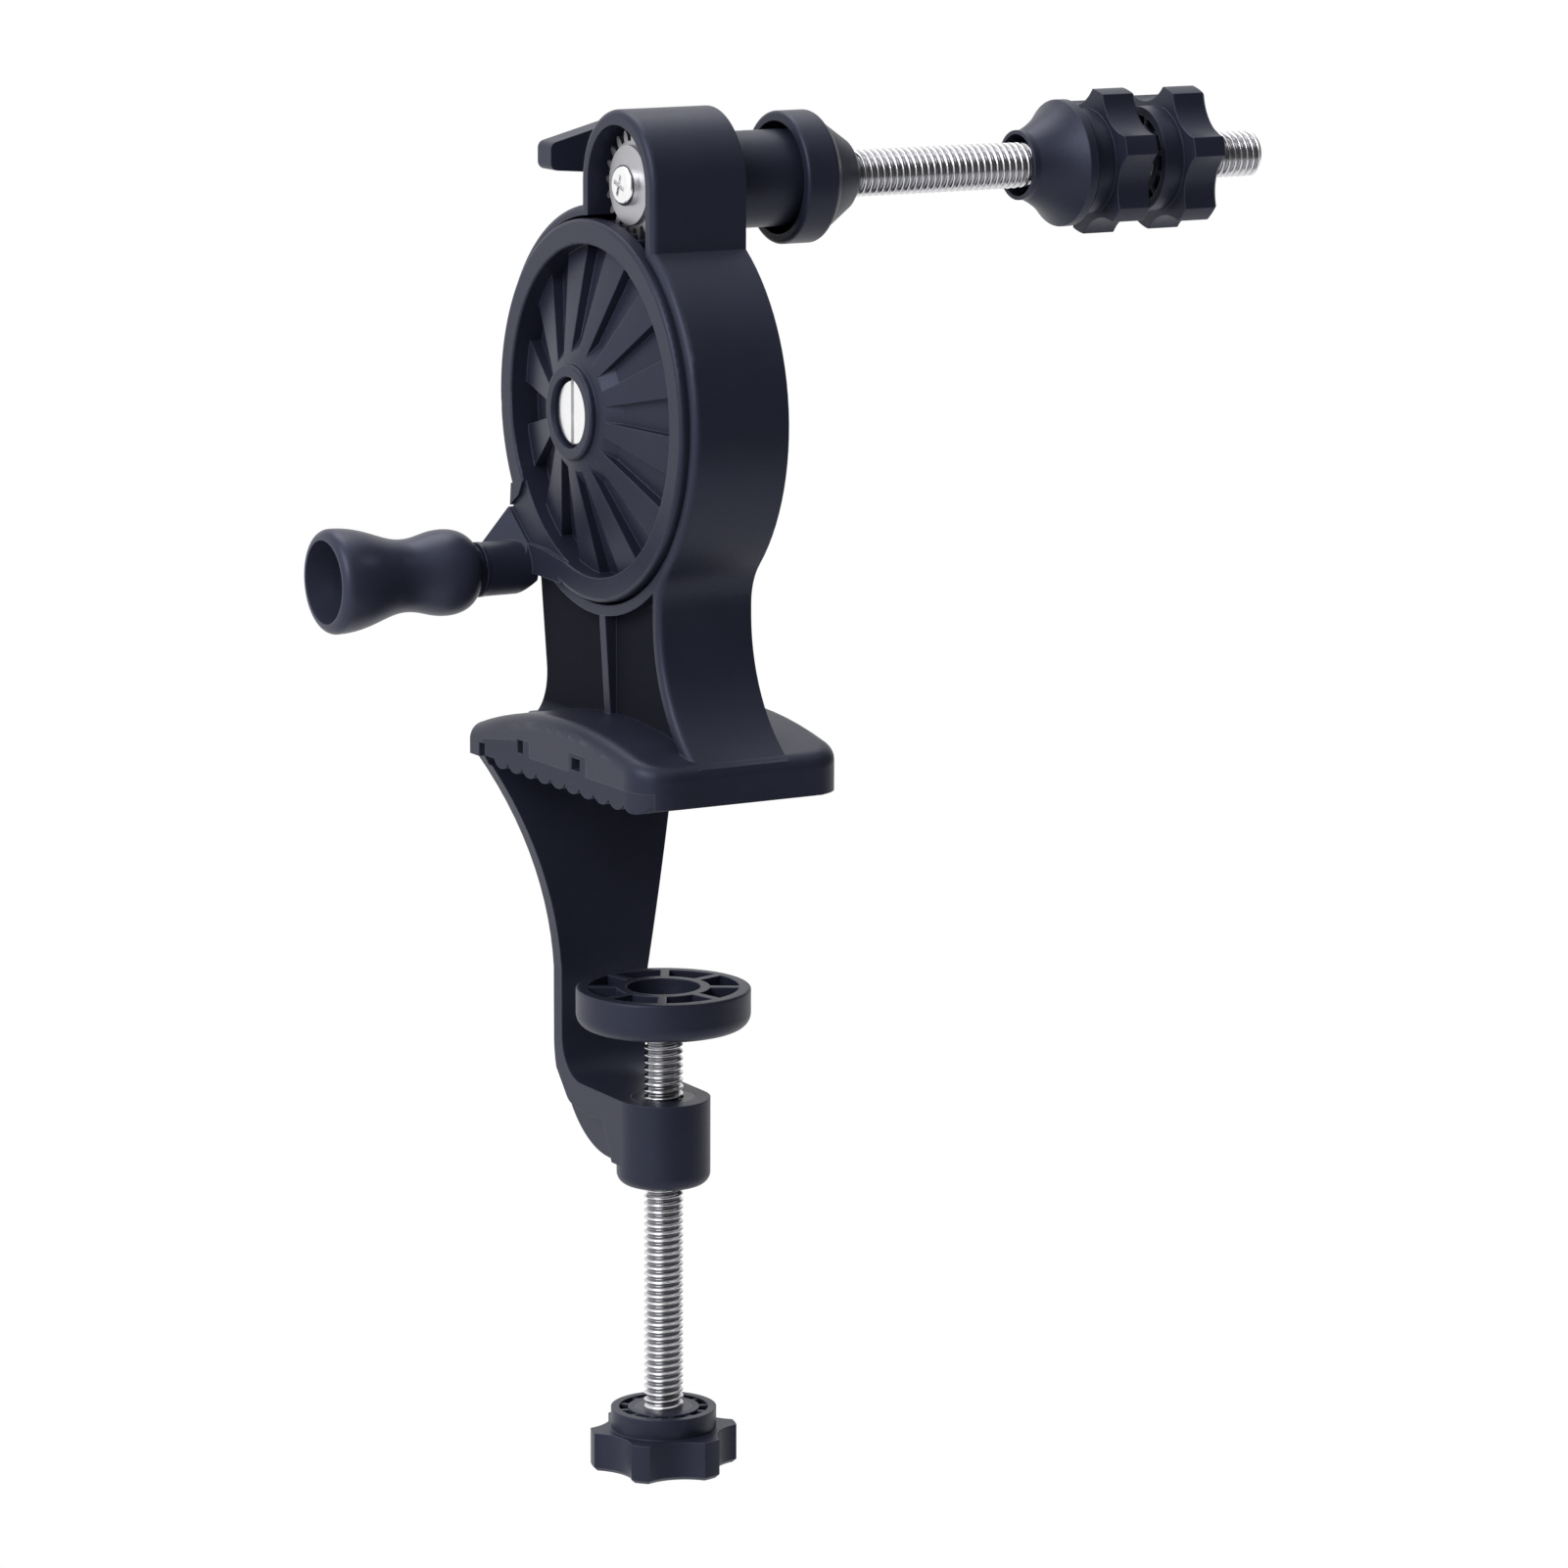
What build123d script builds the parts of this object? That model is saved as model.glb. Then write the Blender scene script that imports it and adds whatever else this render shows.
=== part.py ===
"""Hand-cranked fishing line winder with a table clamp, in millimetres.

Frame: the origin lies on the clamp screw's axis, in the plane of the jaw pad's crests, which
rest on the table. +Z is up, +X runs along the spindle towards its free end, and -X is the side
of the crank.
"""
from build123d import *
import math
import os

os.makedirs("parts", exist_ok=True)

# ---------------------------------------------------------------- gears
gear_module = 1.0
wheel_teeth = 74
pinion_teeth = 20
pressure_angle = 20.0
tooth_backlash = 0.22
tooth_bottom_room = 0.25
centre_distance = gear_module * (wheel_teeth + pinion_teeth) / 2
gear_width = 8.0

# ---------------------------------------------------------------- axes
spindle_y = -3.0
spindle_z = 121.5
wheel_offset_y = 9.0
wheel_y = spindle_y + wheel_offset_y
wheel_z = spindle_z - math.sqrt(centre_distance ** 2 - wheel_offset_y ** 2)

# ---------------------------------------------------------------- clearances
running_gap = 0.06
body_gap = 0.3
face_gap = 0.1
overcut = 1.0

# ---------------------------------------------------------------- housing, head and ring
housing_front_x = -12.3
housing_back_x = 8.9
ring_lip = 2.2
ring_gap = 0.6
chamber_back_x = 4.9
head_radius = 15.1
head_wall = 3.0
ring_edge_round = 1.4
neck_radius = 9.8
neck_end_x = 29.3
column_blend = 12.0
column_left_y = 32.8
column_right_y = -20.5
column_wall = 2.4
column_web_thickness = 3.0
column_web_front_x = -9.5
column_rib_thickness = 2.4
column_rib_lean = 1.6
column_top_left_y = 40.3
column_waist_z = 20.0
column_foot_z = 8.5
column_foot_left_y = 37.5
column_foot_right_y = -35.8
column_foot_mid_y = 33.7
column_foot_mid_z = 13.0
column_flare_z = 36.0
column_flare_mid_y = -24.5
column_flare_mid_z = 20.5
column_pocket_top_z = 50.0
column_pocket_foot_z = 15.5
column_front_pocket_foot_z = 9.0
column_pocket_round = 3.0
column_rib_y = 3.5
column_rib_top_z = 36.0

# ---------------------------------------------------------------- clamp plate
plate_front_x = -24.4
plate_back_x = 22.6
plate_left_y = 38.7
plate_right_y = -36.2
plate_bottom_z = 1.0
plate_left_z = 7.4
plate_right_z = 9.0
plate_crown_z = 13.6
plate_crown_y = 6.0
plate_corner_radius = 8.0
plate_edge_round = 3.2
plate_mid_z = 3.0
plate_long_edge = 60.0

# ---------------------------------------------------------------- clamp arm and boss
arm_thickness = 3.5
arm_outer_y = 29.8
arm_straight_z = -44.0
arm_half_width = 9.7
arm_mid_outer_y = 32.0
arm_mid_z = -20.5
arm_top_extra = 0.5
arm_front_taper_width = 13.9
arm_back_taper_width = 16.0
arm_taper_z = -20.5
arm_back_straight_z = -52.0
boss_radius = 9.7
boss_top_z = -66.8
boss_height = 18.2
boss_bottom_round = 2.5
leg_depth = 13.8
corner_inner_radius = 8.5
corner_outer_radius = 21.5
gusset_recess = 1.5
gusset_corner_radius = 4.0
gusset_top_z = -63.2
gusset_bend_y = 23.4
gusset_bend_z = -71.6
gusset_middle_y = 15.6
gusset_middle_z = -73.1
gusset_near_y = 8.3
gusset_near_z = -72.5
gusset_foot_y = 3.0

# ---------------------------------------------------------------- jaw pad
jaw_pad_left_y = 33.0
jaw_pad_right_y = -34.6
jaw_pad_back_x = 19.0
jaw_pad_low_z = 5.0
jaw_pad_crown_z = 7.7
jaw_pad_mid_z = 4.3
jaw_pad_high_z = 8.3
jaw_step_one_y = 12.4
jaw_step_two_y = -5.0
jaw_step_three_y = -12.0
jaw_ridge_count = 10
jaw_ridge_pitch = 6.2
jaw_ridge_height = 1.6
jaw_ridge_flat = 1.2
jaw_ridge_bulge = 0.25
jaw_ridge_first_y = 24.8
jaw_notch_depth = 4.0
jaw_notches = [(34.6, 32.0, -1.0, 4.0), (17.5, 15.0, 4.6, 7.3), (-5.9, -9.6, 4.9, 7.4)]

# ---------------------------------------------------------------- lug on the head
lug_near_y = 25.0
lug_thickness = 5.7
lug_tip_x = -12.2
lug_back_x = 3.0
lug_top_z = 131.6
lug_tip_top_z = 127.6
lug_tip_bottom_z = 122.2
lug_bottom_z = 121.0
lug_round = 1.6
lug_web_thickness = 6.0
lug_web_foot_z = 114.0
lug_web_top_z = 126.5

# ---------------------------------------------------------------- crank wheel
rim_front_x = -14.0
rim_radius = 38.7
rim_width = 5.1
rim_inner_radius = rim_radius - rim_width
rim_thickness = 3.5
rim_edge_round = 0.9
dish_outer_x = -10.3
dish_inner_x = -17.2
web_thickness = 3.9
hub_radius = 9.75
hub_front_x = -18.6
hub_recess_radius = 7.3
hub_recess_depth = 4.0
groove_count = 12
groove_angle = 15.0
groove_depth = 2.6
groove_start_radius = 12.0
groove_ramp = 3.0
groove_above = 3.0
groove_phase = 18.5
hub_edge_round = 0.6
gear_front_x = -9.6
gear_back_x = gear_front_x + gear_width
gear_root_radius = gear_module * (wheel_teeth / 2 - 1 - tooth_bottom_room)
gear_root_merge = 0.55
gear_body_radius = gear_root_radius - gear_root_merge
gear_ring_wall = 2.8
gear_ring_inner_radius = gear_body_radius - gear_ring_wall
wheel_bush_radius = 5.6

# ---------------------------------------------------------------- crank arm and handle
crank_throw = 46.5
crank_angle = -50.0
handle_boss_radius = 5.6
arm_back_x = -12.6
arm_lower_z = 39.0
arm_lower_start_z = 38.56
arm_lower_start_y = 17.96
arm_lower_end_y = 31.0
arm_upper_y = 39.85
arm_upper_z = 56.6
arm_root_y = 29.1
arm_root_z = 47.8
crease_low_y = 32.5
crease_low_z = 45.0
crease_high_y = 41.0
crease_high_z = 51.5
horn_top_offset = 1.6
horn_setback = 4.5
horn_relief = 3.2
arm_recess_depth = 0.8
arm_recess_inner_radius = 24.0
arm_recess_low = [(12.0, 43.0), (16.0, 43.2), (26.0, 44.7)]
arm_recess_high = [(36.5, 54.5), (34.5, 58.0)]
horn_cut = 60.0
handle_boss_end_x = -23.3
collar_thickness = 1.0
collar_radius = 5.7
washer_radius = 5.1
grip_start_x = -25.5
grip_length = 33.4
grip_end_x = grip_start_x - grip_length
grip_end_radius = 10.8
grip_foot_radius = 5.6
grip_foot_lead = (1.0, 7.7)
grip_bulge_along = 6.4
grip_bulge_radius = 8.9
grip_bulge_lead = 3.2
grip_waist_along = 15.5
grip_waist_radius = 7.5
grip_waist_lead = 3.9
grip_flare_lead = 5.0
grip_end_lead = 7.3
grip_mouth_radius = 8.6
grip_mouth_depth = 9.0
grip_mouth_taper = 0.6
grip_widest_back = 2.1
grip_nose_x = 0.45
grip_nose_radius = 10.0
handle_pin_radius = 2.5
handle_pin_head_radius = 4.6
handle_pin_head_height = 2.6
handle_pin_round = 0.8
handle_pin_grip_in_boss = 10.0
handle_pin_socket_radius = 1.5
handle_pin_socket_depth = 1.6

# ---------------------------------------------------------------- wheel axle
axle_radius = 4.0
axle_thread_radius = 3.0
axle_head_radius = 6.75
axle_head_height = 2.0
axle_head_front_x = -17.5
axle_head_round = 0.6
axle_slot_turn = 0.0
axle_insert_end_x = 6.9
axle_slot_width = 1.3
axle_slot_depth = 1.1
axle_washer_thickness = 0.8
axle_insert_radius = 5.0
post_radius = 8.0
post_front_x = -1.0
axle_end_x = 6.9

# ---------------------------------------------------------------- spindle
spindle_radius = 4.75
spindle_end_x = 139.7
spindle_chamfer = 0.8
bushing_radius = 7.0
bushing_flange_radius = 9.0
bushing_flange_thickness = 1.0
front_bushing_length = 9.5
rear_bushing_length = 9.5
pinion_front_x = -8.7
pinion_spigot_radius = 3.2
pinion_face_radius = 7.95
pinion_face_height = 0.9
spacer_radius = 6.4
pinion_screw_head_radius = 4.15
pinion_screw_head_height = 2.1
pinion_screw_shank_radius = 2.0
pinion_screw_shank_length = 9.0
cross_slot_width = 0.9
cross_slot_length = 4.4
cross_slot_depth = 1.2
cross_slot_turn = 20.0
pinion_screw_round = 1.4

# ---------------------------------------------------------------- cones
drive_cone_back_x = 24.3
drive_cone_crease_x = 31.3
drive_cone_shoulder_x = 33.0
drive_cone_nose_x = 39.4
drive_cone_tip_x = 40.8
cone_radius = 13.45
drive_cone_shoulder_radius = 11.7
drive_cone_nose_radius = 7.4
drive_cone_tip_radius = 5.8
cone_wall = 2.0
cone_floor_x = 31.3
cone_insert_radius = 5.8
cone_insert_length = 7.0
cone_tip_bore = 5.05
cone_edge_round = 0.8
cone_crease_round = 1.0
sliding_cone_tip_x = 81.5
sliding_cone_flare_x = 91.4
sliding_cone_back_x = 94.1
sliding_cone_radius = 13.1
sliding_cone_tip_radius = 7.2
sliding_cone_tip_length = 1.6
sliding_cone_mouth_radius = 6.4
sliding_cone_mouth_depth = 7.0
sliding_cone_mid_x = 86.4
sliding_cone_mid_radius = 8.9

# ---------------------------------------------------------------- knobs
knob_radius = 15.2
knob_lobes = 6
knob_lobe_angle = 15.4
knob_scallop_radius = 12.1
knob_height = 8.2
knob_edge_round = 0.8
knob_flange_radius = 10.95
knob_flange_height = 4.4
knob_flange_wall = 1.7
knob_flange_recess = 2.6
knob_hub_radius = 7.4
knob_rib_count = 12
knob_rib_thickness = 1.0
knob_rib_drop = 0.6
knob_insert_radius = 6.0
cone_knob_flange_x = 94.5
lock_knob_flange_x = 111.2
cone_knob_turn = -13.0
lock_knob_turn = -17.0
clamp_knob_turn = 43.0
clamp_knob_flange_z = -132.9

# ---------------------------------------------------------------- clamp screw and pad
clamp_screw_radius = 4.1
clamp_spigot_radius = 2.6
clamp_insert_radius = 6.6
clamp_insert_length = 14.0
clamp_mouth_radius = 5.6
pad_radius = 18.0
pad_top_z = -43.6
pad_height = 8.3
pad_floor = 2.5
pad_rim = 2.4
pad_ring_radius = 9.6
pad_ring_wall = 2.0
pad_rib_count = 8
pad_rib_thickness = 1.8
pad_bottom_round = 3.0
pad_edge_round = 0.5
pad_turn = 15.0
retainer_radius = 4.6
retainer_thickness = 1.2

# ---------------------------------------------------------------- shared places
chamber_radius = rim_radius + ring_gap
ring_radius = chamber_radius + ring_lip
wheel_place = Pos(0, wheel_y, wheel_z)
spindle_place = Pos(0, spindle_y, spindle_z)
handle_y = wheel_y + crank_throw * math.cos(math.radians(crank_angle))
handle_z = wheel_z + crank_throw * math.sin(math.radians(crank_angle))
handle_place = Pos(0, handle_y, handle_z)
boss_bottom_z = boss_top_z - boss_height
pad_bottom_z = pad_top_z - pad_height
clamp_knob_total = knob_height + knob_flange_height
clamp_knob_bottom_z = clamp_knob_flange_z - clamp_knob_total


def save(node, shape):
    """Write one sub-part as a STEP file under its own name."""
    export_step(shape, "parts/" + node + ".step")


def outline(corners):
    """A closed flat outline; a corner (u, v, radius) is rounded with a true arc."""
    edges = []
    ends = []
    count = len(corners)
    for index in range(count):
        here = Vector(*corners[index][:2])
        before = (Vector(*corners[index - 1][:2]) - here).normalized()
        after = (Vector(*corners[(index + 1) % count][:2]) - here).normalized()
        if len(corners[index]) < 3:
            ends.append((here, here))
            continue
        radius = corners[index][2]
        half = before.get_angle(after) / 2
        reach = radius / math.tan(math.radians(half))
        middle = (before + after).normalized()
        apex = here + middle * (radius / math.sin(math.radians(half)) - radius)
        start = here + before * reach
        end = here + after * reach
        edges.append(ThreePointArc(start, apex, end))
        ends.append((start, end))
    for index in range(count):
        edges.append(Line(ends[index - 1][1], ends[index][0]))
    return make_face(edges)


def turned(corners, axis=Axis.X):
    """Revolve a closed outline of (x, r) corners about X, or of (r, z) corners about Z."""
    plane = Plane.XY if axis == Axis.X else Plane.XZ
    return revolve(plane * outline(corners), axis)


def rod_x(radius, start_x, end_x):
    """A round bar about the X axis from start_x to end_x."""
    return Plane.YZ.offset(start_x) * extrude(Circle(radius), end_x - start_x)


def rod_z(radius, bottom_z, top_z):
    """A round bar about the Z axis from bottom_z to top_z."""
    return Plane.XY.offset(bottom_z) * extrude(Circle(radius), top_z - bottom_z)


def tube_x(outer, inner, start_x, end_x):
    """A round sleeve about the X axis."""
    return rod_x(outer, start_x, end_x) - rod_x(inner, start_x - overcut, end_x + overcut)


def slab_x(sketch, start_x, end_x):
    """A YZ outline carried along X from start_x to end_x."""
    return extrude(Plane.YZ.offset(start_x) * sketch, end_x - start_x)


def polar(radius, degrees):
    """A point of the sketch plane given by its radius and angle."""
    return (radius * math.cos(math.radians(degrees)), radius * math.sin(math.radians(degrees)))


def gear_outline(teeth, backlash, turn):
    """Involute spur gear outline centred on the sketch origin, one tooth at the angle turn."""
    pitch = gear_module * teeth / 2
    base = pitch * math.cos(math.radians(pressure_angle))
    root = pitch - gear_module * (1 + tooth_bottom_room)
    tip = pitch + gear_module
    alpha = math.radians(pressure_angle)
    half_tooth = (math.pi * gear_module / 2 - backlash / 2) / (2 * pitch)
    flank = [root, (pitch + max(root, base)) / 2, pitch, (pitch + tip) / 2, tip]
    points = []
    for tooth in range(teeth):
        centre = math.radians(turn) + 2 * math.pi * tooth / teeth
        sides = []
        for radius in flank:
            angle = math.acos(min(1.0, base / radius))
            involute = math.tan(angle) - angle
            sides.append((radius, half_tooth + math.tan(alpha) - alpha - involute))
        for radius, spread in sides:
            points.append(polar(radius, math.degrees(centre - spread)))
        for radius, spread in reversed(sides):
            points.append(polar(radius, math.degrees(centre + spread)))
    return make_face(Polyline(*points, close=True))


def ring_outline():
    """The round gear chamber and the head that rises from it, seen from the front."""
    head_left_y = spindle_y + head_radius
    head_right_y = spindle_y - head_radius
    cheek = [(head_left_y, wheel_z), (head_left_y, spindle_z), (head_right_y, spindle_z),
             (head_right_y, wheel_z)]
    ring = Pos(wheel_y, wheel_z) * Circle(ring_radius)
    return ring + Pos(spindle_y, spindle_z) * Circle(head_radius) + outline(cheek)


def chamber():
    """The hollow for the crank wheel and the pinion, open to the front."""
    bore = wheel_place * rod_x(chamber_radius, housing_front_x - overcut, chamber_back_x)
    cavity_radius = head_radius - head_wall
    cavity = spindle_place * rod_x(cavity_radius, housing_front_x - overcut, chamber_back_x)
    left_y = spindle_y + cavity_radius
    right_y = spindle_y - cavity_radius
    slot = [(left_y, wheel_z), (left_y, spindle_z), (right_y, spindle_z), (right_y, wheel_z)]
    return bore + cavity + slab_x(outline(slot), housing_front_x - overcut, chamber_back_x)


def column_outline():
    """The column's outline seen from the front, from the ring down into the plate."""
    left_line = Line((column_top_left_y, wheel_z), (column_left_y, column_waist_z))
    left_foot = ThreePointArc((column_left_y, column_waist_z), (column_foot_mid_y, column_foot_mid_z),
                              (column_foot_left_y, column_foot_z))
    foot = Polyline((column_foot_left_y, column_foot_z), (column_foot_left_y, plate_mid_z),
                    (column_foot_right_y, plate_mid_z), (column_foot_right_y, column_foot_z))
    right_flare = ThreePointArc((column_foot_right_y, column_foot_z),
                                (column_flare_mid_y, column_flare_mid_z),
                                (column_right_y, column_flare_z))
    right_line = Polyline((column_right_y, column_flare_z), (column_right_y, wheel_z),
                          (column_top_left_y, wheel_z))
    return make_face([left_line, *left_foot.edges(), *foot.edges(), *right_flare.edges(),
                      *right_line.edges()])


def front_shell():
    """Ring, head and column in one, still solid, running into each other with smooth hollows."""
    profile = ring_outline() + column_outline()
    hub = Vector(wheel_y, wheel_z)
    on_ring = [vertex for vertex in profile.vertices()
               if abs((Vector(vertex.X, vertex.Y) - hub).length - ring_radius) < face_gap
               and vertex.Y < wheel_z - ring_radius / 2]
    shell = slab_x(fillet(on_ring, column_blend), housing_front_x, housing_back_x)
    front = shell.faces().sort_by(Axis.X)[0]
    return fillet(front.edges(), ring_edge_round)


def front_pocket():
    """The hollow in front of the web: bounded by the right wall, open to the left."""
    beyond_left_y = plate_left_y + column_wall
    window = outline([(beyond_left_y, column_pocket_top_z), (column_foot_right_y, column_pocket_top_z),
                      (column_foot_right_y, column_front_pocket_foot_z),
                      (beyond_left_y, column_front_pocket_foot_z)])
    open_side = outline([(beyond_left_y, column_pocket_top_z), (column_rib_y, column_pocket_top_z),
                         (column_rib_y, column_front_pocket_foot_z),
                         (beyond_left_y, column_front_pocket_foot_z)])
    hollow = offset(column_outline(), amount=-column_wall) & window
    return slab_x(hollow + open_side, housing_front_x - overcut, column_web_front_x)


def back_pocket():
    """The hollow behind the web, between the column's two walls."""
    left_y = column_left_y - column_wall
    right_y = column_right_y + column_wall
    hollow = outline([(left_y, column_pocket_top_z), (right_y, column_pocket_top_z),
                      (right_y, column_pocket_foot_z, column_pocket_round),
                      (left_y, column_pocket_foot_z, column_pocket_round)])
    web_back_x = column_web_front_x + column_web_thickness
    return slab_x(hollow, web_back_x, housing_back_x + overcut)


def column_rib():
    """The middle rib, its front edge leaning back towards the foot."""
    top_z = column_rib_top_z
    foot_z = column_front_pocket_foot_z
    side = outline([(housing_front_x, top_z), (housing_back_x, top_z), (housing_back_x, foot_z),
                    (housing_front_x + column_rib_lean, foot_z)])
    return extrude(Plane.XZ.offset(-column_rib_y - column_rib_thickness / 2) * side, column_rib_thickness)


def column_pockets():
    """Both pockets of the column, closed at the top by the ring."""
    ring = wheel_place * rod_x(ring_radius, housing_front_x - overcut, housing_back_x + overcut)
    return front_pocket() + back_pocket() - ring


def plate_plan():
    """The clamp plate's plan, rounded at the two corners away from the arm."""
    return outline([(plate_front_x, plate_left_y), (plate_front_x, plate_right_y, plate_corner_radius),
                    (plate_back_x, plate_right_y, plate_corner_radius), (plate_back_x, plate_left_y)])


def plate():
    """The clamp's upper plate, arched across and rounded at its corners and top edge."""
    arch = ThreePointArc((plate_left_y, plate_left_z), (plate_crown_y, plate_crown_z),
                         (plate_right_y, plate_right_z))
    under = Polyline((plate_right_y, plate_right_z), (plate_right_y, plate_bottom_z),
                     (plate_left_y, plate_bottom_z), (plate_left_y, plate_left_z))
    arched = slab_x(make_face([*arch.edges(), *under.edges()]), plate_front_x, plate_back_x)
    solid = arched & extrude(plate_plan(), plate_crown_z + overcut)
    top = solid.faces().sort_by(Axis.Z)[-1]
    long_edges = top.edges().filter_by(lambda edge: edge.length > plate_long_edge)
    return fillet(long_edges, plate_edge_round)


def arm_side_outline():
    """The clamp arm seen from the front: a C that leans inward and turns in to the boss."""
    lower_z = boss_top_z - leg_depth
    outer_top = ThreePointArc((plate_left_y, plate_mid_z), (arm_mid_outer_y, arm_mid_z),
                              (arm_outer_y, arm_straight_z))
    bend_z = lower_z + corner_outer_radius
    swing = corner_outer_radius * math.sqrt(0.5)
    outer_bend = ThreePointArc((arm_outer_y, bend_z),
                               (arm_outer_y - corner_outer_radius + swing, bend_z - swing),
                               (arm_outer_y - corner_outer_radius, lower_z))
    inner_y = arm_outer_y - arm_thickness
    inner_bend_z = boss_top_z + corner_inner_radius
    inner_swing = corner_inner_radius * math.sqrt(0.5)
    inner_bend = ThreePointArc((inner_y - corner_inner_radius, boss_top_z),
                               (inner_y - corner_inner_radius + inner_swing, inner_bend_z - inner_swing),
                               (inner_y, inner_bend_z))
    inner_top = ThreePointArc((inner_y, arm_straight_z), (arm_mid_outer_y - arm_thickness, arm_mid_z),
                              (plate_left_y - arm_thickness - arm_top_extra, plate_mid_z))
    edges = [*outer_top.edges(), *outer_bend.edges(), *inner_bend.edges(), *inner_top.edges()]
    edges.append(Line((arm_outer_y, arm_straight_z), (arm_outer_y, bend_z)))
    edges.append(Line((arm_outer_y - corner_outer_radius, lower_z), (0, lower_z)))
    edges.append(Line((0, lower_z), (0, boss_top_z)))
    edges.append(Line((0, boss_top_z), (inner_y - corner_inner_radius, boss_top_z)))
    edges.append(Line((inner_y, inner_bend_z), (inner_y, arm_straight_z)))
    edges.append(Line((plate_left_y - arm_thickness - arm_top_extra, plate_mid_z),
                      (plate_left_y, plate_mid_z)))
    return make_face(edges)


def arm_front_outline():
    """The clamp arm seen from the side: wide at the plate, narrow from the bend down."""
    lower_z = boss_top_z - leg_depth - overcut
    left = ThreePointArc((plate_front_x, plate_mid_z), (-arm_front_taper_width, arm_taper_z),
                         (-arm_half_width, arm_straight_z))
    right = ThreePointArc((arm_half_width, arm_back_straight_z), (arm_back_taper_width, arm_taper_z),
                          (plate_back_x, plate_mid_z))
    rest = Polyline((-arm_half_width, arm_straight_z), (-arm_half_width, lower_z),
                    (arm_half_width, lower_z), (arm_half_width, arm_back_straight_z))
    return make_face([*left.edges(), *right.edges(), *rest.edges(),
                      Line((plate_back_x, plate_mid_z), (plate_front_x, plate_mid_z))])


def gusset_panels():
    """The shallow panels sunk into the outer corner of the lower leg, one on each flank."""
    beyond_y = arm_outer_y + arm_thickness
    beyond_z = boss_top_z - leg_depth - arm_thickness
    panel = [(arm_outer_y + overcut, gusset_top_z), (gusset_bend_y, gusset_bend_z, gusset_corner_radius),
             (gusset_middle_y, gusset_middle_z, gusset_corner_radius),
             (gusset_near_y, gusset_near_z), (gusset_foot_y, beyond_z), (beyond_y, beyond_z),
             (beyond_y, gusset_top_z)]
    deep = arm_half_width - gusset_recess
    front = slab_x(outline(panel), -arm_half_width - overcut, -deep)
    return front + slab_x(outline(panel), deep, arm_half_width + overcut)


def arm():
    """The clamp arm with the round boss at its lower end."""
    side = slab_x(arm_side_outline(), plate_front_x - overcut, plate_back_x + overcut)
    front = extrude(Plane.XZ.offset(-plate_left_y - overcut) * arm_front_outline(), plate_left_y + 2 * overcut)
    boss = turned([(0, boss_top_z), (boss_radius, boss_top_z),
                   (boss_radius, boss_bottom_z, boss_bottom_round), (0, boss_bottom_z)], Axis.Z)
    return (side & front) - gusset_panels() + boss


def clamp_bore():
    """The stepped hole down through the boss for the clamp insert and screw."""
    insert = rod_z(clamp_insert_radius, boss_top_z - clamp_insert_length, boss_top_z + overcut)
    return insert + rod_z(clamp_mouth_radius, boss_bottom_z - overcut, boss_top_z)


def lug():
    """The flat lug behind the head, with the web that carries it."""
    side = outline([(lug_back_x, lug_top_z), (lug_tip_x, lug_tip_top_z, lug_round),
                    (lug_tip_x, lug_tip_bottom_z, lug_round), (lug_back_x, lug_bottom_z)])
    flat = extrude(Plane.XZ.offset(-lug_near_y - lug_thickness) * side, lug_thickness)
    far_y = lug_near_y + lug_thickness / 2
    head_side_y = spindle_y + head_radius - head_wall / 2
    web = outline([(head_side_y, lug_web_foot_z), (head_side_y, lug_web_top_z),
                   (far_y, lug_web_top_z), (far_y, lug_bottom_z + overcut)])
    return flat + slab_x(web, lug_back_x - lug_web_thickness, lug_back_x)


def jaw_pad_steps():
    """The stepped top of the jaw pad, from its left end to its right end."""
    return [(jaw_pad_left_y, jaw_pad_low_z), (jaw_step_one_y, jaw_pad_crown_z),
            (jaw_step_one_y, jaw_pad_mid_z), (jaw_step_two_y, jaw_pad_mid_z),
            (jaw_step_two_y, jaw_pad_high_z), (jaw_step_three_y, jaw_pad_high_z),
            (jaw_step_three_y, jaw_pad_mid_z), (jaw_pad_right_y, jaw_pad_mid_z)]


def jaw_notch_cuts():
    """Three small notches in the plate's front face, along the jaw pad."""
    cuts = []
    for left_y, right_y, low_z, high_z in jaw_notches:
        middle = Pos(plate_front_x, (left_y + right_y) / 2, (low_z + high_z) / 2)
        cuts.append(middle * Box(2 * jaw_notch_depth, left_y - right_y, high_z - low_z))
    return cuts


def jaw_pad():
    """The soft jaw pad: stepped above, ridged below, pressed into the plate's underside."""
    valley_z = jaw_ridge_height
    half = jaw_ridge_pitch / 2
    flat = jaw_ridge_flat / 2
    edges = list(Polyline(*jaw_pad_steps()).edges())
    edges.append(Line((jaw_pad_right_y, jaw_pad_mid_z), (jaw_pad_right_y, valley_z)))
    here = (jaw_pad_right_y, valley_z)
    for index in reversed(range(jaw_ridge_count)):
        crest = jaw_ridge_first_y - index * jaw_ridge_pitch
        start = (crest - half, valley_z)
        if index == jaw_ridge_count - 1:
            edges.append(Line(here, start))
        shoulder = (half + flat) / 2
        shoulder_z = valley_z * jaw_ridge_bulge
        edges.append(ThreePointArc(start, (crest - shoulder, shoulder_z), (crest - flat, 0)))
        edges.append(Line((crest - flat, 0), (crest + flat, 0)))
        here = (crest + half, valley_z)
        edges.append(ThreePointArc((crest + flat, 0), (crest + shoulder, shoulder_z), here))
    edges.append(Line(here, (jaw_pad_left_y, valley_z)))
    edges.append(Line((jaw_pad_left_y, valley_z), (jaw_pad_left_y, jaw_pad_low_z)))
    pad = slab_x(make_face(edges), plate_front_x, jaw_pad_back_x)
    return (pad & extrude(plate_plan(), plate_crown_z)) - jaw_notch_cuts()


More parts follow.
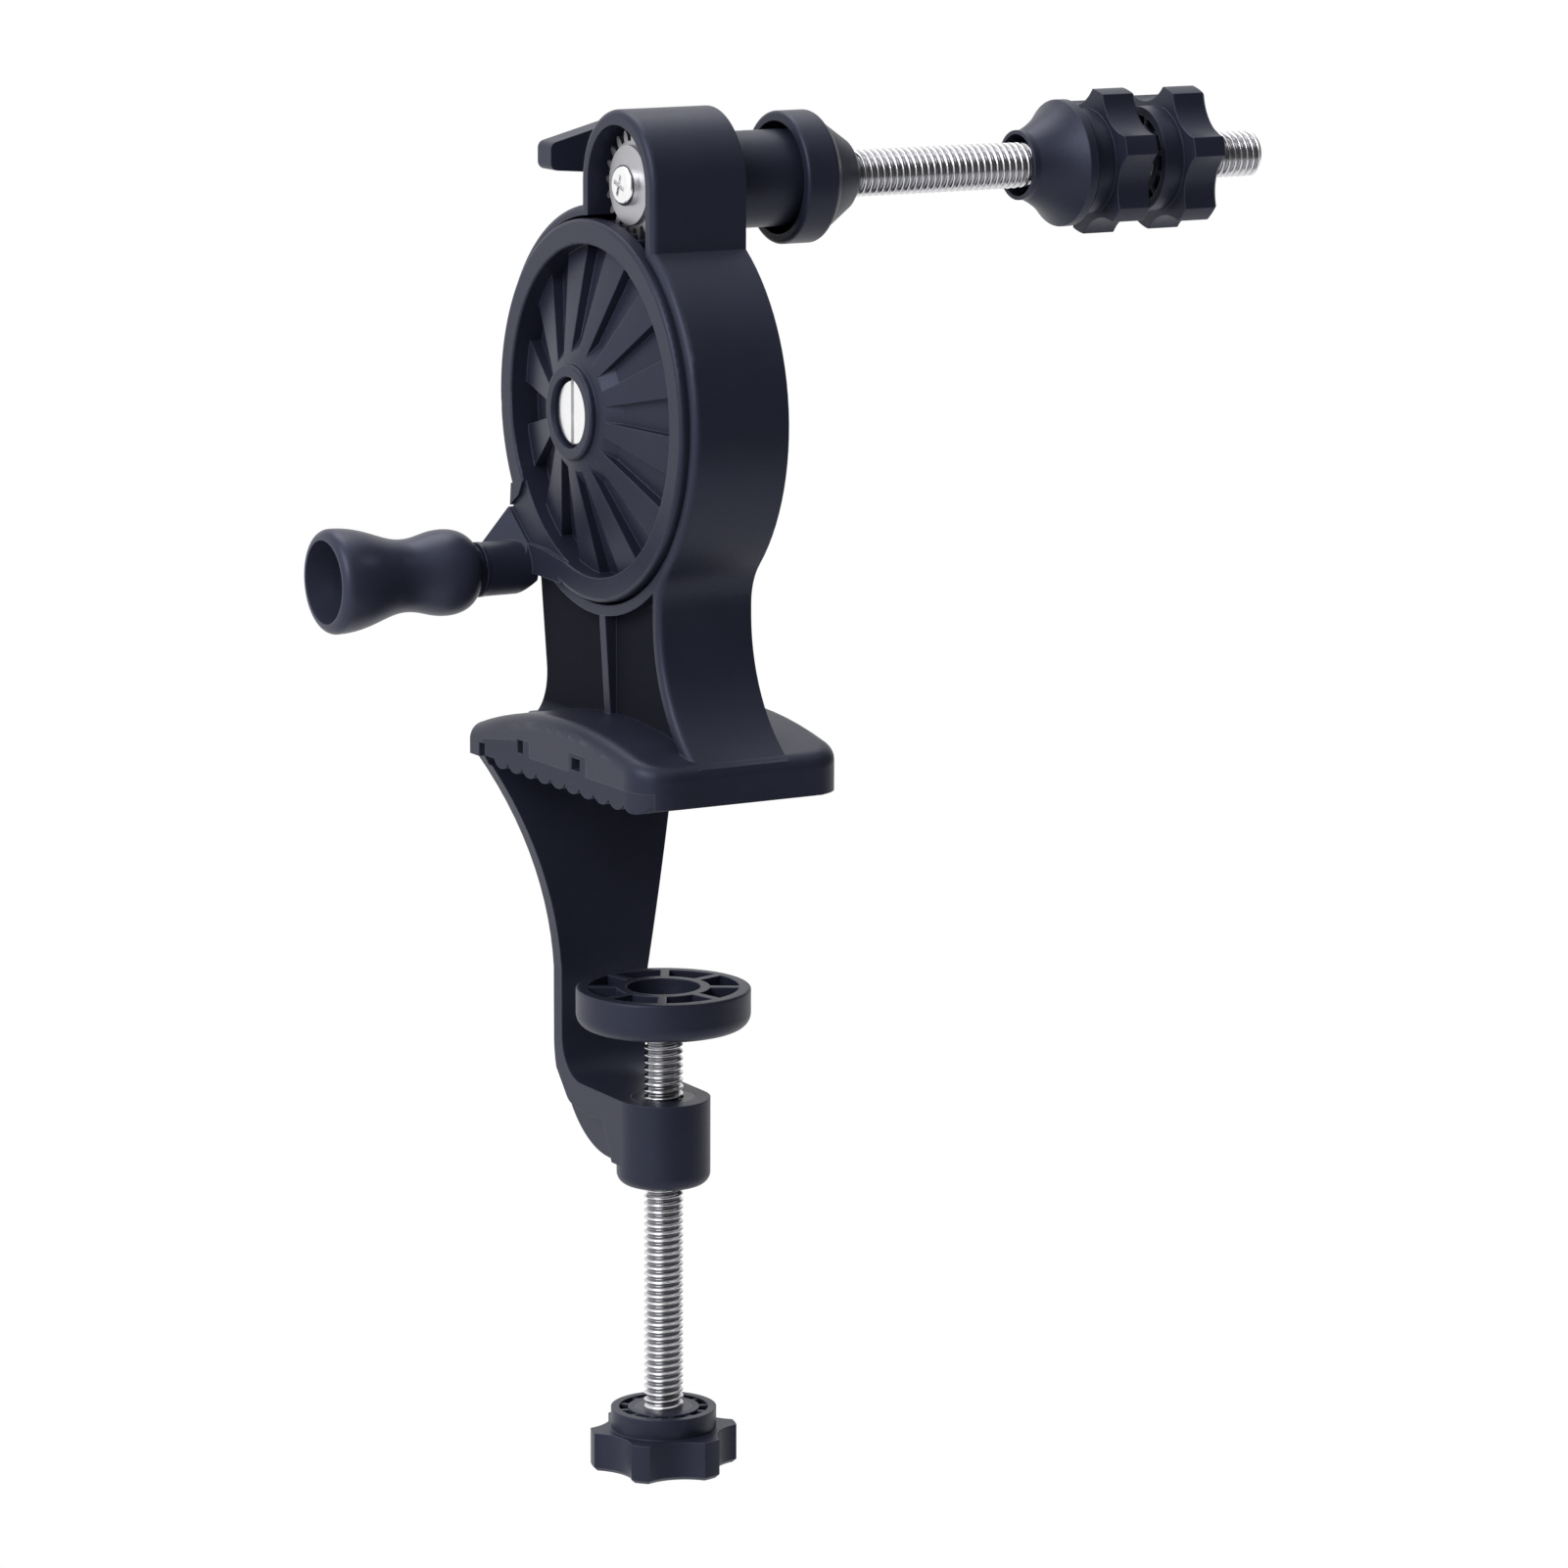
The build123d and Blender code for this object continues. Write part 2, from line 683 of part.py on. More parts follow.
def jaw_seat():
    """The pocket in the plate for the jaw pad, open at the front end."""
    low_z = plate_bottom_z - overcut
    seat = [*jaw_pad_steps(), (jaw_pad_right_y, low_z), (jaw_pad_left_y, low_z)]
    return slab_x(outline(seat), plate_front_x - overcut, jaw_pad_back_x)


def housing():
    """The one-piece body: ring, head, neck, column, plate, clamp arm and boss."""
    neck = spindle_place * rod_x(neck_radius, chamber_back_x, neck_end_x)
    neck_bore = spindle_place * rod_x(bushing_radius, chamber_back_x - overcut, neck_end_x + overcut)
    post = wheel_place * rod_x(post_radius, post_front_x, housing_back_x)
    axle_bore = wheel_place * rod_x(axle_insert_radius, post_front_x - overcut, axle_insert_end_x)
    body = front_shell() - column_pockets() + column_rib() + lug() - chamber() + neck
    body = body + plate() + arm() + post
    return body - neck_bore - axle_bore - jaw_seat() - jaw_notch_cuts() - clamp_bore()


def wheel_grooves():
    """Wedge-shaped grooves sunk into the dished front of the crank wheel."""
    slope = (dish_outer_x - dish_inner_x) / (rim_inner_radius - hub_radius)
    start_x = dish_inner_x + slope * (groove_start_radius - hub_radius)
    band = outline([(start_x - groove_above, groove_start_radius), (start_x, groove_start_radius),
                    (start_x + groove_depth, groove_start_radius + groove_ramp),
                    (dish_outer_x + groove_depth, rim_inner_radius),
                    (rim_front_x - groove_above, rim_inner_radius)])
    wedge = revolve(Plane.XY * band, Axis.X, groove_angle)
    first = Rot(groove_phase, 0, 0) * wedge
    cut = first
    for index in range(1, groove_count):
        cut += Rot(index * 360 / groove_count, 0, 0) * first
    return cut


def crank_wheel_body():
    """Rim, dished web and hub of the crank wheel, turned about X."""
    hub_back_x = post_front_x - body_gap
    recess_x = hub_front_x + hub_recess_depth
    ring_outer = gear_body_radius
    section = [(recess_x, wheel_bush_radius), (recess_x, hub_recess_radius),
               (hub_front_x, hub_recess_radius), (hub_front_x, hub_radius, hub_edge_round),
               (dish_inner_x, hub_radius), (dish_outer_x, rim_inner_radius),
               (rim_front_x, rim_inner_radius, rim_edge_round / 2),
               (rim_front_x, rim_radius, rim_edge_round),
               (rim_front_x + rim_thickness, rim_radius, rim_edge_round / 2),
               (rim_front_x + rim_thickness, ring_outer), (gear_back_x, ring_outer),
               (gear_back_x, gear_ring_inner_radius),
               (dish_outer_x + web_thickness, gear_ring_inner_radius),
               (dish_inner_x + web_thickness, hub_radius), (hub_back_x, hub_radius),
               (hub_back_x, wheel_bush_radius)]
    return turned(section)


def crank_arm():
    """The flat arm that flares from the rim to the handle, in the wheel's own frame."""
    throw_y = handle_y - wheel_y
    throw_z = handle_z - wheel_z
    flat = [(arm_root_y - wheel_y, arm_root_z - wheel_z),
            (arm_lower_start_y - wheel_y, arm_lower_start_z - wheel_z),
            (arm_lower_end_y - wheel_y, arm_lower_z - wheel_z), (throw_y, throw_z),
            (throw_y + handle_boss_radius, throw_z), (arm_upper_y - wheel_y, arm_upper_z - wheel_z)]
    arm_plate = slab_x(outline(flat), rim_front_x, arm_back_x)
    boss = Pos(0, throw_y, throw_z) * rod_x(handle_boss_radius, handle_boss_end_x, arm_back_x)
    return arm_plate + boss + crank_horn()


def arm_recess():
    """The dish's shallow run-out over the rim and the arm, up to the arm's crease."""
    corners = [*arm_recess_low, (crease_low_y, crease_low_z), (crease_high_y, crease_high_z),
               *arm_recess_high]
    local = [(y - wheel_y, z - wheel_z) for y, z in corners]
    floor_x = rim_front_x + arm_recess_depth
    middle = rod_x(arm_recess_inner_radius, rim_front_x - overcut, floor_x)
    return slab_x(outline(local), rim_front_x - overcut, floor_x) - middle


def crank_horn():
    """The slanting horn between the arm's crease and the handle boss."""
    low = Vector(rim_front_x, crease_low_y - wheel_y, crease_low_z - wheel_z)
    high = Vector(rim_front_x, crease_high_y - wheel_y, crease_high_z - wheel_z)
    boss = Vector(handle_boss_end_x + horn_setback, handle_y - wheel_y, handle_z - wheel_z)
    along = (high - low).normalized()
    outward = (low - boss) - along * (low - boss).dot(along)
    outward = Vector(0, outward.Y, outward.Z).normalized()
    near = boss + outward * horn_top_offset
    normal = along.cross(near - low)
    if normal.X > 0:
        normal = normal * -1
    crease = Line((low.Y, low.Z), (high.Y, high.Z))
    circle = Pos(boss.Y, boss.Z) * Circle(handle_boss_radius)
    column_shape = slab_x(make_hull([*crease.edges(), *circle.edges()]), handle_boss_end_x, arm_back_x)
    above = Plane(origin=low, x_dir=along, z_dir=normal) * Pos(0, 0, horn_cut / 2) * Box(
        horn_cut, horn_cut, horn_cut)
    return column_shape - above


def horn_underside():
    """The slanting cut that takes the handle boss back to the arm on its underside."""
    foot_z = handle_z - wheel_z - handle_boss_radius
    start_x = arm_back_x - horn_relief - overcut
    side = outline([(start_x, foot_z - overcut), (arm_back_x + overcut, foot_z + horn_relief + overcut),
                    (arm_back_x + overcut, foot_z - overcut)])
    reach = 2 * handle_boss_radius
    return extrude(Plane.XZ.offset(wheel_y - handle_y - reach) * side, 2 * reach)


def crank_wheel():
    """The moulded crank wheel: toothed ring, pleated dish, hub, arm and handle boss."""
    turn = math.degrees(math.atan2(spindle_z - wheel_z, spindle_y - wheel_y))
    teeth = slab_x(gear_outline(wheel_teeth, tooth_backlash, turn), gear_front_x, gear_back_x)
    teeth -= rod_x(gear_ring_inner_radius + gear_ring_wall / 2, gear_front_x - overcut, gear_back_x + overcut)
    body = crank_wheel_body() - wheel_grooves() + teeth + crank_arm() - arm_recess()
    body -= horn_underside()
    pin = Pos(0, handle_y - wheel_y, handle_z - wheel_z)
    pin_end_x = handle_boss_end_x + handle_pin_grip_in_boss
    body -= pin * rod_x(handle_pin_radius, handle_boss_end_x - overcut, pin_end_x)
    return wheel_place * body


def wheel_bushing():
    """The plain sleeve in the wheel's hub that runs on the axle screw."""
    sleeve = tube_x(wheel_bush_radius, axle_radius + running_gap, hub_front_x + hub_recess_depth,
                    post_front_x - body_gap)
    return wheel_place * sleeve


def wheel_axle_screw():
    """The shoulder screw that the crank wheel turns on, with its slotted head."""
    back_x = axle_head_front_x + axle_head_height
    section = [(axle_head_front_x, 0), (axle_head_front_x, axle_head_radius, axle_head_round),
               (back_x, axle_head_radius), (back_x, axle_radius), (post_front_x, axle_radius),
               (post_front_x, axle_thread_radius), (axle_end_x, axle_thread_radius),
               (axle_end_x, 0)]
    slot = Pos(axle_head_front_x + axle_slot_depth / 2, 0, 0) * Box(
        axle_slot_depth, axle_slot_width, 3 * axle_head_radius)
    return wheel_place * (turned(section) - Rot(axle_slot_turn, 0, 0) * slot)


def wheel_washer():
    """The washer under the axle screw's head."""
    start_x = axle_head_front_x + axle_head_height
    washer = tube_x(axle_head_radius, axle_radius, start_x, start_x + axle_washer_thickness)
    return wheel_place * washer


def axle_insert():
    """The threaded insert that holds the axle screw in the housing's post."""
    insert = tube_x(axle_insert_radius, axle_thread_radius, post_front_x, axle_insert_end_x)
    return wheel_place * insert


def front_bushing():
    """The flanged bushing behind the pinion."""
    flange_front_x = chamber_back_x - bushing_flange_thickness
    bore = spindle_radius + running_gap
    section = [(flange_front_x, bore), (flange_front_x, bushing_flange_radius),
               (chamber_back_x, bushing_flange_radius), (chamber_back_x, bushing_radius),
               (chamber_back_x + front_bushing_length, bushing_radius),
               (chamber_back_x + front_bushing_length, bore)]
    return spindle_place * turned(section)


def rear_bushing():
    """The flanged bushing in the neck's open end."""
    bore = spindle_radius + running_gap
    flange_back_x = neck_end_x + bushing_flange_thickness
    section = [(neck_end_x - rear_bushing_length, bore),
               (neck_end_x - rear_bushing_length, bushing_radius), (neck_end_x, bushing_radius),
               (neck_end_x, bushing_flange_radius), (flange_back_x, bushing_flange_radius),
               (flange_back_x, bore)]
    return spindle_place * turned(section)


def clamp_insert():
    """The threaded insert in the boss that the clamp screw runs in."""
    bottom_z = boss_top_z - clamp_insert_length
    sleeve = rod_z(clamp_insert_radius, bottom_z, boss_top_z)
    return sleeve - rod_z(clamp_screw_radius + running_gap, bottom_z - overcut, boss_top_z + overcut)


def spindle_rod():
    """The spindle: threaded rod with a spigot for the pinion and a bevelled free end."""
    section = [(pinion_front_x, 0), (pinion_front_x, pinion_spigot_radius),
               (pinion_front_x + gear_width, pinion_spigot_radius),
               (pinion_front_x + gear_width, spindle_radius),
               (spindle_end_x - spindle_chamfer, spindle_radius),
               (spindle_end_x, spindle_radius - spindle_chamfer), (spindle_end_x, 0)]
    rod = turned(section)
    hole_end_x = pinion_front_x + pinion_screw_shank_length
    return spindle_place * (rod - rod_x(pinion_screw_shank_radius, pinion_front_x - overcut, hole_end_x))


def pinion_gear():
    """The steel pinion with its raised face, a gap between teeth facing the wheel."""
    toward_wheel = math.degrees(math.atan2(wheel_z - spindle_z, wheel_y - spindle_y))
    turn = toward_wheel + 180 / pinion_teeth
    end_x = pinion_front_x + gear_width
    toothed = slab_x(gear_outline(pinion_teeth, tooth_backlash, turn), pinion_front_x, end_x)
    face = rod_x(pinion_face_radius, pinion_front_x - pinion_face_height, pinion_front_x)
    bore = rod_x(pinion_spigot_radius, pinion_front_x, end_x + overcut)
    hole_start_x = pinion_front_x - pinion_face_height - overcut
    hole = rod_x(pinion_screw_shank_radius, hole_start_x, pinion_front_x + overcut)
    return spindle_place * (toothed + face - bore - hole)


def pinion_screw():
    """The cross-slotted screw that holds the pinion on the spindle."""
    back_x = pinion_front_x - pinion_face_height
    front_x = back_x - pinion_screw_head_height
    head = turned([(front_x, 0), (front_x, pinion_screw_head_radius, pinion_screw_round),
                   (back_x, pinion_screw_head_radius), (back_x, pinion_screw_shank_radius),
                   (pinion_front_x + pinion_screw_shank_length, pinion_screw_shank_radius),
                   (pinion_front_x + pinion_screw_shank_length, 0)])
    blade = Pos(front_x + cross_slot_depth / 2, 0, 0) * Box(
        cross_slot_depth, cross_slot_width, cross_slot_length)
    cross = blade + Rot(90, 0, 0) * blade
    return spindle_place * (head - Rot(cross_slot_turn, 0, 0) * cross)


def pinion_spacer():
    """The spacer between the pinion and the front bushing."""
    start_x = pinion_front_x + gear_width
    end_x = chamber_back_x - bushing_flange_thickness - face_gap
    return spindle_place * tube_x(spacer_radius, spindle_radius, start_x, end_x)


def drive_cone():
    """The cup-shaped cone fixed on the spindle, hollow towards the housing."""
    inner = cone_radius - cone_wall
    socket_end_x = cone_floor_x + cone_insert_length
    section = [(drive_cone_back_x, inner), (drive_cone_back_x, cone_radius, cone_edge_round),
               (drive_cone_crease_x, cone_radius, cone_crease_round),
               (drive_cone_shoulder_x, drive_cone_shoulder_radius),
               (drive_cone_nose_x, drive_cone_nose_radius),
               (drive_cone_tip_x, drive_cone_tip_radius), (drive_cone_tip_x, cone_tip_bore),
               (socket_end_x, cone_tip_bore), (socket_end_x, cone_insert_radius),
               (cone_floor_x, cone_insert_radius), (cone_floor_x, inner)]
    return spindle_place * turned(section)


def crank_handle_collar():
    """The collar against the handle boss."""
    end_x = handle_boss_end_x
    collar = tube_x(collar_radius, handle_pin_radius, end_x - collar_thickness, end_x)
    return handle_place * collar


def crank_handle_washer():
    """The washer between the collar and the grip."""
    end_x = handle_boss_end_x - collar_thickness
    washer = tube_x(washer_radius, handle_pin_radius, end_x - collar_thickness, end_x)
    return handle_place * washer


def handle_pin():
    """The pin through the grip, its head sunk in the grip's mouth."""
    head_back_x = grip_end_x + grip_mouth_depth - face_gap
    front_x = head_back_x - handle_pin_head_height
    pin_end_x = handle_boss_end_x + handle_pin_grip_in_boss
    pin = turned([(front_x, 0), (front_x, handle_pin_head_radius, handle_pin_round),
                  (head_back_x, handle_pin_head_radius), (head_back_x, handle_pin_radius),
                  (pin_end_x, handle_pin_radius), (pin_end_x, 0)])
    socket = rod_x(handle_pin_socket_radius, front_x - overcut, front_x + handle_pin_socket_depth)
    return handle_place * (pin - socket)


def handle_grip():
    """The waisted grip that turns on the pin, hollow at its outer end."""
    bore = handle_pin_radius + running_gap
    widest_x = grip_end_x + grip_widest_back
    bulge_x = grip_start_x - grip_bulge_along
    waist_x = grip_start_x - grip_waist_along
    foot = Bezier((grip_start_x, grip_foot_radius), (grip_start_x - grip_foot_lead[0], grip_foot_lead[1]),
                  (bulge_x + grip_bulge_lead, grip_bulge_radius), (bulge_x, grip_bulge_radius))
    middle = Bezier((bulge_x, grip_bulge_radius), (bulge_x - grip_waist_lead, grip_bulge_radius),
                    (waist_x + grip_waist_lead, grip_waist_radius), (waist_x, grip_waist_radius))
    flare = Bezier((waist_x, grip_waist_radius), (waist_x - grip_flare_lead, grip_waist_radius),
                   (widest_x + grip_end_lead, grip_end_radius), (widest_x, grip_end_radius))
    nose = ThreePointArc((widest_x, grip_end_radius), (grip_end_x + grip_nose_x, grip_nose_radius),
                         (grip_end_x, grip_mouth_radius))
    mouth_x = grip_end_x + grip_mouth_depth
    rest = Polyline((grip_end_x, grip_mouth_radius), (mouth_x, grip_mouth_radius - grip_mouth_taper),
                    (mouth_x, bore), (grip_start_x, bore), (grip_start_x, grip_foot_radius))
    section = make_face([*foot.edges(), *middle.edges(), *flare.edges(), *nose.edges(), *rest.edges()])
    return handle_place * revolve(Plane.XY * section, Axis.X)


def sliding_cone():
    """The trumpet-shaped cone that slides along the spindle, hollow at both ends."""
    flare = ThreePointArc((sliding_cone_tip_x + sliding_cone_tip_length, sliding_cone_tip_radius),
                          (sliding_cone_mid_x, sliding_cone_mid_radius),
                          (sliding_cone_flare_x, sliding_cone_radius))
    mouth_x = sliding_cone_tip_x + sliding_cone_mouth_depth
    bore = spindle_radius + running_gap
    rest = Polyline((sliding_cone_flare_x, sliding_cone_radius),
                    (sliding_cone_back_x - cone_edge_round, sliding_cone_radius),
                    (sliding_cone_back_x, sliding_cone_radius - cone_edge_round),
                    (sliding_cone_back_x, bore), (mouth_x, bore), (mouth_x, sliding_cone_mouth_radius),
                    (sliding_cone_tip_x, sliding_cone_mouth_radius),
                    (sliding_cone_tip_x, sliding_cone_tip_radius),
                    (sliding_cone_tip_x + sliding_cone_tip_length, sliding_cone_tip_radius))
    section = make_face([*flare.edges(), *rest.edges()])
    return spindle_place * revolve(Plane.XY * section, Axis.X)


def knob(turn):
    """The six-lobed knob, its flange up: body below z=0, hollow ribbed flange above."""
    step = 360 / knob_lobes
    edges = []
    for index in range(knob_lobes):
        middle = turn + index * step
        lobe_start = polar(knob_radius, middle - knob_lobe_angle / 2)
        lobe_end = polar(knob_radius, middle + knob_lobe_angle / 2)
        edges.append(ThreePointArc(lobe_start, polar(knob_radius, middle), lobe_end))
        dip = polar(knob_scallop_radius, middle + step / 2)
        next_start = polar(knob_radius, middle + step - knob_lobe_angle / 2)
        edges.append(ThreePointArc(lobe_end, dip, next_start))
    body = Plane.XY.offset(-knob_height) * extrude(make_face(edges), knob_height)
    body = chamfer(body.faces().sort_by(Axis.Z)[0].edges(), knob_edge_round)
    collar = rod_z(knob_flange_radius, -overcut, knob_flange_height)
    recess = rod_z(knob_flange_radius - knob_flange_wall, knob_flange_height - knob_flange_recess,
                   knob_flange_height + overcut)
    hub = rod_z(knob_hub_radius, 0, knob_flange_height)
    rib = Pos(knob_flange_radius / 2, 0, knob_flange_height - knob_flange_recess / 2) * Box(
        knob_flange_radius - knob_flange_wall / 2, knob_rib_thickness,
        knob_flange_recess - knob_rib_drop)
    ribs = Rot(0, 0, turn) * rib
    for index in range(1, knob_rib_count):
        ribs += Rot(0, 0, turn + index * 360 / knob_rib_count) * rib
    moulded = body + (collar - recess) + hub + ribs
    return moulded - rod_z(knob_insert_radius, -knob_height - overcut, knob_flange_height + overcut)


def spindle_knob(flange_x, turn):
    """A knob laid along the spindle with its flange towards the cones."""
    return Pos(flange_x + knob_flange_height, spindle_y, spindle_z) * Rot(0, -90, 0) * knob(turn)


def spindle_knob_insert(flange_x):
    """The threaded insert in a knob on the spindle."""
    end_x = flange_x + knob_flange_height + knob_height
    return spindle_place * tube_x(knob_insert_radius, spindle_radius + running_gap, flange_x, end_x)


def drive_cone_insert():
    """The threaded insert that fixes the drive cone to the spindle."""
    end_x = cone_floor_x + cone_insert_length
    return spindle_place * tube_x(cone_insert_radius, spindle_radius, cone_floor_x, end_x)


def clamp_knob():
    """The knob at the foot of the clamp screw."""
    return Pos(0, 0, clamp_knob_flange_z - knob_flange_height) * knob(clamp_knob_turn)


def clamp_knob_insert():
    """The steel insert that holds the clamp knob on the clamp screw."""
    insert = rod_z(knob_insert_radius, clamp_knob_bottom_z, clamp_knob_flange_z)
    return insert - rod_z(clamp_screw_radius, clamp_knob_bottom_z - overcut, clamp_knob_flange_z + overcut)


def clamp_screw():
    """The clamp screw, its spigot turning in the pressure pad's floor."""
    shoulder_z = pad_bottom_z - face_gap
    top_z = pad_bottom_z + pad_floor + face_gap + retainer_thickness
    return turned([(0, clamp_knob_bottom_z), (clamp_screw_radius, clamp_knob_bottom_z),
                   (clamp_screw_radius, shoulder_z), (clamp_spigot_radius, shoulder_z),
                   (clamp_spigot_radius, top_z), (0, top_z)], Axis.Z)


def pad_retainer():
    """The retaining ring that keeps the pressure pad on the screw's spigot."""
    bottom_z = pad_bottom_z + pad_floor + face_gap
    ring = rod_z(retainer_radius, bottom_z, bottom_z + retainer_thickness)
    return ring - rod_z(clamp_spigot_radius, bottom_z - overcut, bottom_z + retainer_thickness + overcut)


def pressure_pad():
    """The round pressure pad, a shallow cup with a ring and radial ribs inside."""
    cup = turned([(0, pad_top_z), (pad_radius, pad_top_z, pad_edge_round),
                  (pad_radius, pad_bottom_z, pad_bottom_round), (0, pad_bottom_z)], Axis.Z)
    floor_z = pad_bottom_z + pad_floor
    hollow = rod_z(pad_radius - pad_rim, floor_z, pad_top_z + overcut)
    ring = rod_z(pad_ring_radius, floor_z, pad_top_z) - rod_z(pad_ring_radius - pad_ring_wall,
                                                             floor_z - overcut, pad_top_z + overcut)
    spoke_length = pad_radius - pad_rim / 2 - pad_ring_radius + pad_ring_wall / 2
    spoke_middle = pad_ring_radius - pad_ring_wall / 2 + spoke_length / 2
    spoke = Pos(spoke_middle, 0, (floor_z + pad_top_z) / 2) * Box(
        spoke_length, pad_rib_thickness, pad_top_z - floor_z)
    spokes = Rot(0, 0, pad_turn) * spoke
    for index in range(1, pad_rib_count):
        spokes += Rot(0, 0, pad_turn + index * 360 / pad_rib_count) * spoke
    pad = cup - hollow + ring + spokes
    return pad - rod_z(clamp_spigot_radius + running_gap, pad_bottom_z - overcut, floor_z + overcut)


save("housing", housing())
save("jaw_pad", jaw_pad())
save("wheel_axle_screw", wheel_axle_screw())
save("wheel_washer", wheel_washer())
save("axle_insert", axle_insert())
save("front_bushing", front_bushing())
save("rear_bushing", rear_bushing())
save("clamp_insert", clamp_insert())
save("crank_wheel", crank_wheel())
save("wheel_bushing", wheel_bushing())
save("handle_collar", crank_handle_collar())
save("handle_washer", crank_handle_washer())
save("handle_pin", handle_pin())
save("handle_grip", handle_grip())
save("spindle_rod", spindle_rod())
save("pinion_gear", pinion_gear())
save("pinion_screw", pinion_screw())
save("pinion_spacer", pinion_spacer())
save("drive_cone", drive_cone())
save("drive_cone_insert", drive_cone_insert())
save("sliding_cone", sliding_cone())
save("cone_knob", spindle_knob(cone_knob_flange_x, cone_knob_turn))
save("cone_knob_insert", spindle_knob_insert(cone_knob_flange_x))
save("lock_knob", spindle_knob(lock_knob_flange_x, lock_knob_turn))
save("lock_knob_insert", spindle_knob_insert(lock_knob_flange_x))
save("pressure_pad", pressure_pad())
save("clamp_screw", clamp_screw())
save("clamp_knob", clamp_knob())
save("clamp_knob_insert", clamp_knob_insert())
save("pad_retainer", pad_retainer())
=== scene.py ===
"""Looks for the fishing line winder: threads, moulded plastic, bright steel, camera and light.

Metres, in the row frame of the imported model, which is loaded as a fixed frame.
"""

import math

import bpy
import numpy as np
from mathutils import Matrix, Vector


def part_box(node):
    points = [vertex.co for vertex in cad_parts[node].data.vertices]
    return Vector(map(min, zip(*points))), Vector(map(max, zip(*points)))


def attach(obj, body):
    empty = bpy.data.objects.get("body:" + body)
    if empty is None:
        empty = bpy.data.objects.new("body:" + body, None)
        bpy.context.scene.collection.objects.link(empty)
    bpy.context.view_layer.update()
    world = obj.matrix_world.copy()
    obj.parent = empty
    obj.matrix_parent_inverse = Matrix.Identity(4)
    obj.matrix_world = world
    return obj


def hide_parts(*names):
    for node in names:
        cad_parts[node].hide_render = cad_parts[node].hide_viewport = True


bl_info = {
    "name": "Fishing line winder looks",
    "version": (1, 0, 0),
    "blender": (4, 5, 0),
    "location": "View3D > Sidebar > Winder",
    "description": "Dresses the packed line winder with threads, finishes, stage and light",
    "category": "Object",
}

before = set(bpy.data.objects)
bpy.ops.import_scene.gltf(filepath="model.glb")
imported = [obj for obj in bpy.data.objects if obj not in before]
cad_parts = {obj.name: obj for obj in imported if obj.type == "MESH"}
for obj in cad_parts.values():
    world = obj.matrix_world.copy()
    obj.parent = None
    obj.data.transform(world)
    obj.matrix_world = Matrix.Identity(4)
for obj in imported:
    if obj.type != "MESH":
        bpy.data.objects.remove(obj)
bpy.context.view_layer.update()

MM = 0.001
SPINDLE_Y = -3.0 * MM
SPINDLE_Z = 121.5 * MM

THREAD_CREST_SHARE = 0.12
THREAD_ROOT_SHARE = 0.2
LEAST_RADIUS = 1e-6

# Roughness, height of the grain in metres and its cells per metre
MOULDED_FINISH = (0.44, 0.00004, 2600)
GRIP_FINISH = (0.4, 0.00002, 3200)
PAD_FINISH = (0.7, 0.00003, 1800)
BUSHING_FINISH = (0.36, 0.00001, 3000)
EDGE_RADIUS = 0.00035
# Range of agreement between rounded and face normals over which edges get the painted highlight
EDGE_MATCH = (0.995, 0.86)
PLATING_RELIEF = 0.000006

# The surround: directions and heights between which its shade fades, and its strengths
DARK_SIDE = (0.62, -0.785, 0.0)
FRONT_SHADE = 0.88
FRONT_FADE = (-0.05, 0.5)
ZENITH_FADE = (0.5, 0.95)
FLOOR_FADE = (-0.55, -0.28)
PLAIN_SHARE = 0.88

# Place, aim and size of each lamp, in metres
KEY_LAMP = ((-1.1, -0.35, 0.75), (0.0, 0.0, 0.03), 0.9)
TOP_LAMP = ((0.1, 0.5, 1.3), (0.0, 0.0, 0.05), 1.0)

PICTURE_PIXELS = 1601
SENSOR_WIDTH = 36.0

# Painted shade in the column's pocket: between these planes and heights, on faces that look along
# -X, the housing is painted down to a dark colour for the shade the deep pocket falls in, and made
# duller
POCKET_X = (-10.6 * MM, -8.4 * MM)
POCKET_Z = (9.0 * MM, 40.0 * MM)
POCKET_FADE_X = 0.4 * MM
POCKET_FADE_Z = 3.0 * MM
POCKET_FACING = (-0.6, -0.95)
POCKET_SHADE_COLOUR = (0.0015, 0.0018, 0.0045, 1)
POCKET_ROUGHNESS = 0.95

HOUSING_NODES = ("housing",)
PLASTIC_NODES = ("crank_wheel", "drive_cone", "sliding_cone", "cone_knob", "lock_knob",
                 "pressure_pad", "clamp_knob")
GRIP_NODES = ("handle_grip",)
PAD_NODES = ("jaw_pad",)
# Painted shade: clamp_knob_insert gets the black bushing plastic so it stands for the dark hole
# where the clamp screw enters the knob
BUSHING_AND_HOLE_SHADE_NODES = ("front_bushing", "rear_bushing", "wheel_bushing", "handle_collar", "handle_washer",
                 "clamp_insert", "clamp_knob_insert")
BRIGHT_NODES = ("wheel_washer", "axle_insert", "handle_pin", "drive_cone_insert",
                "cone_knob_insert", "lock_knob_insert", "pad_retainer")
HEAD_NODES = ("wheel_axle_screw", "pinion_screw")
GEAR_NODES = ("pinion_gear", "pinion_spacer")


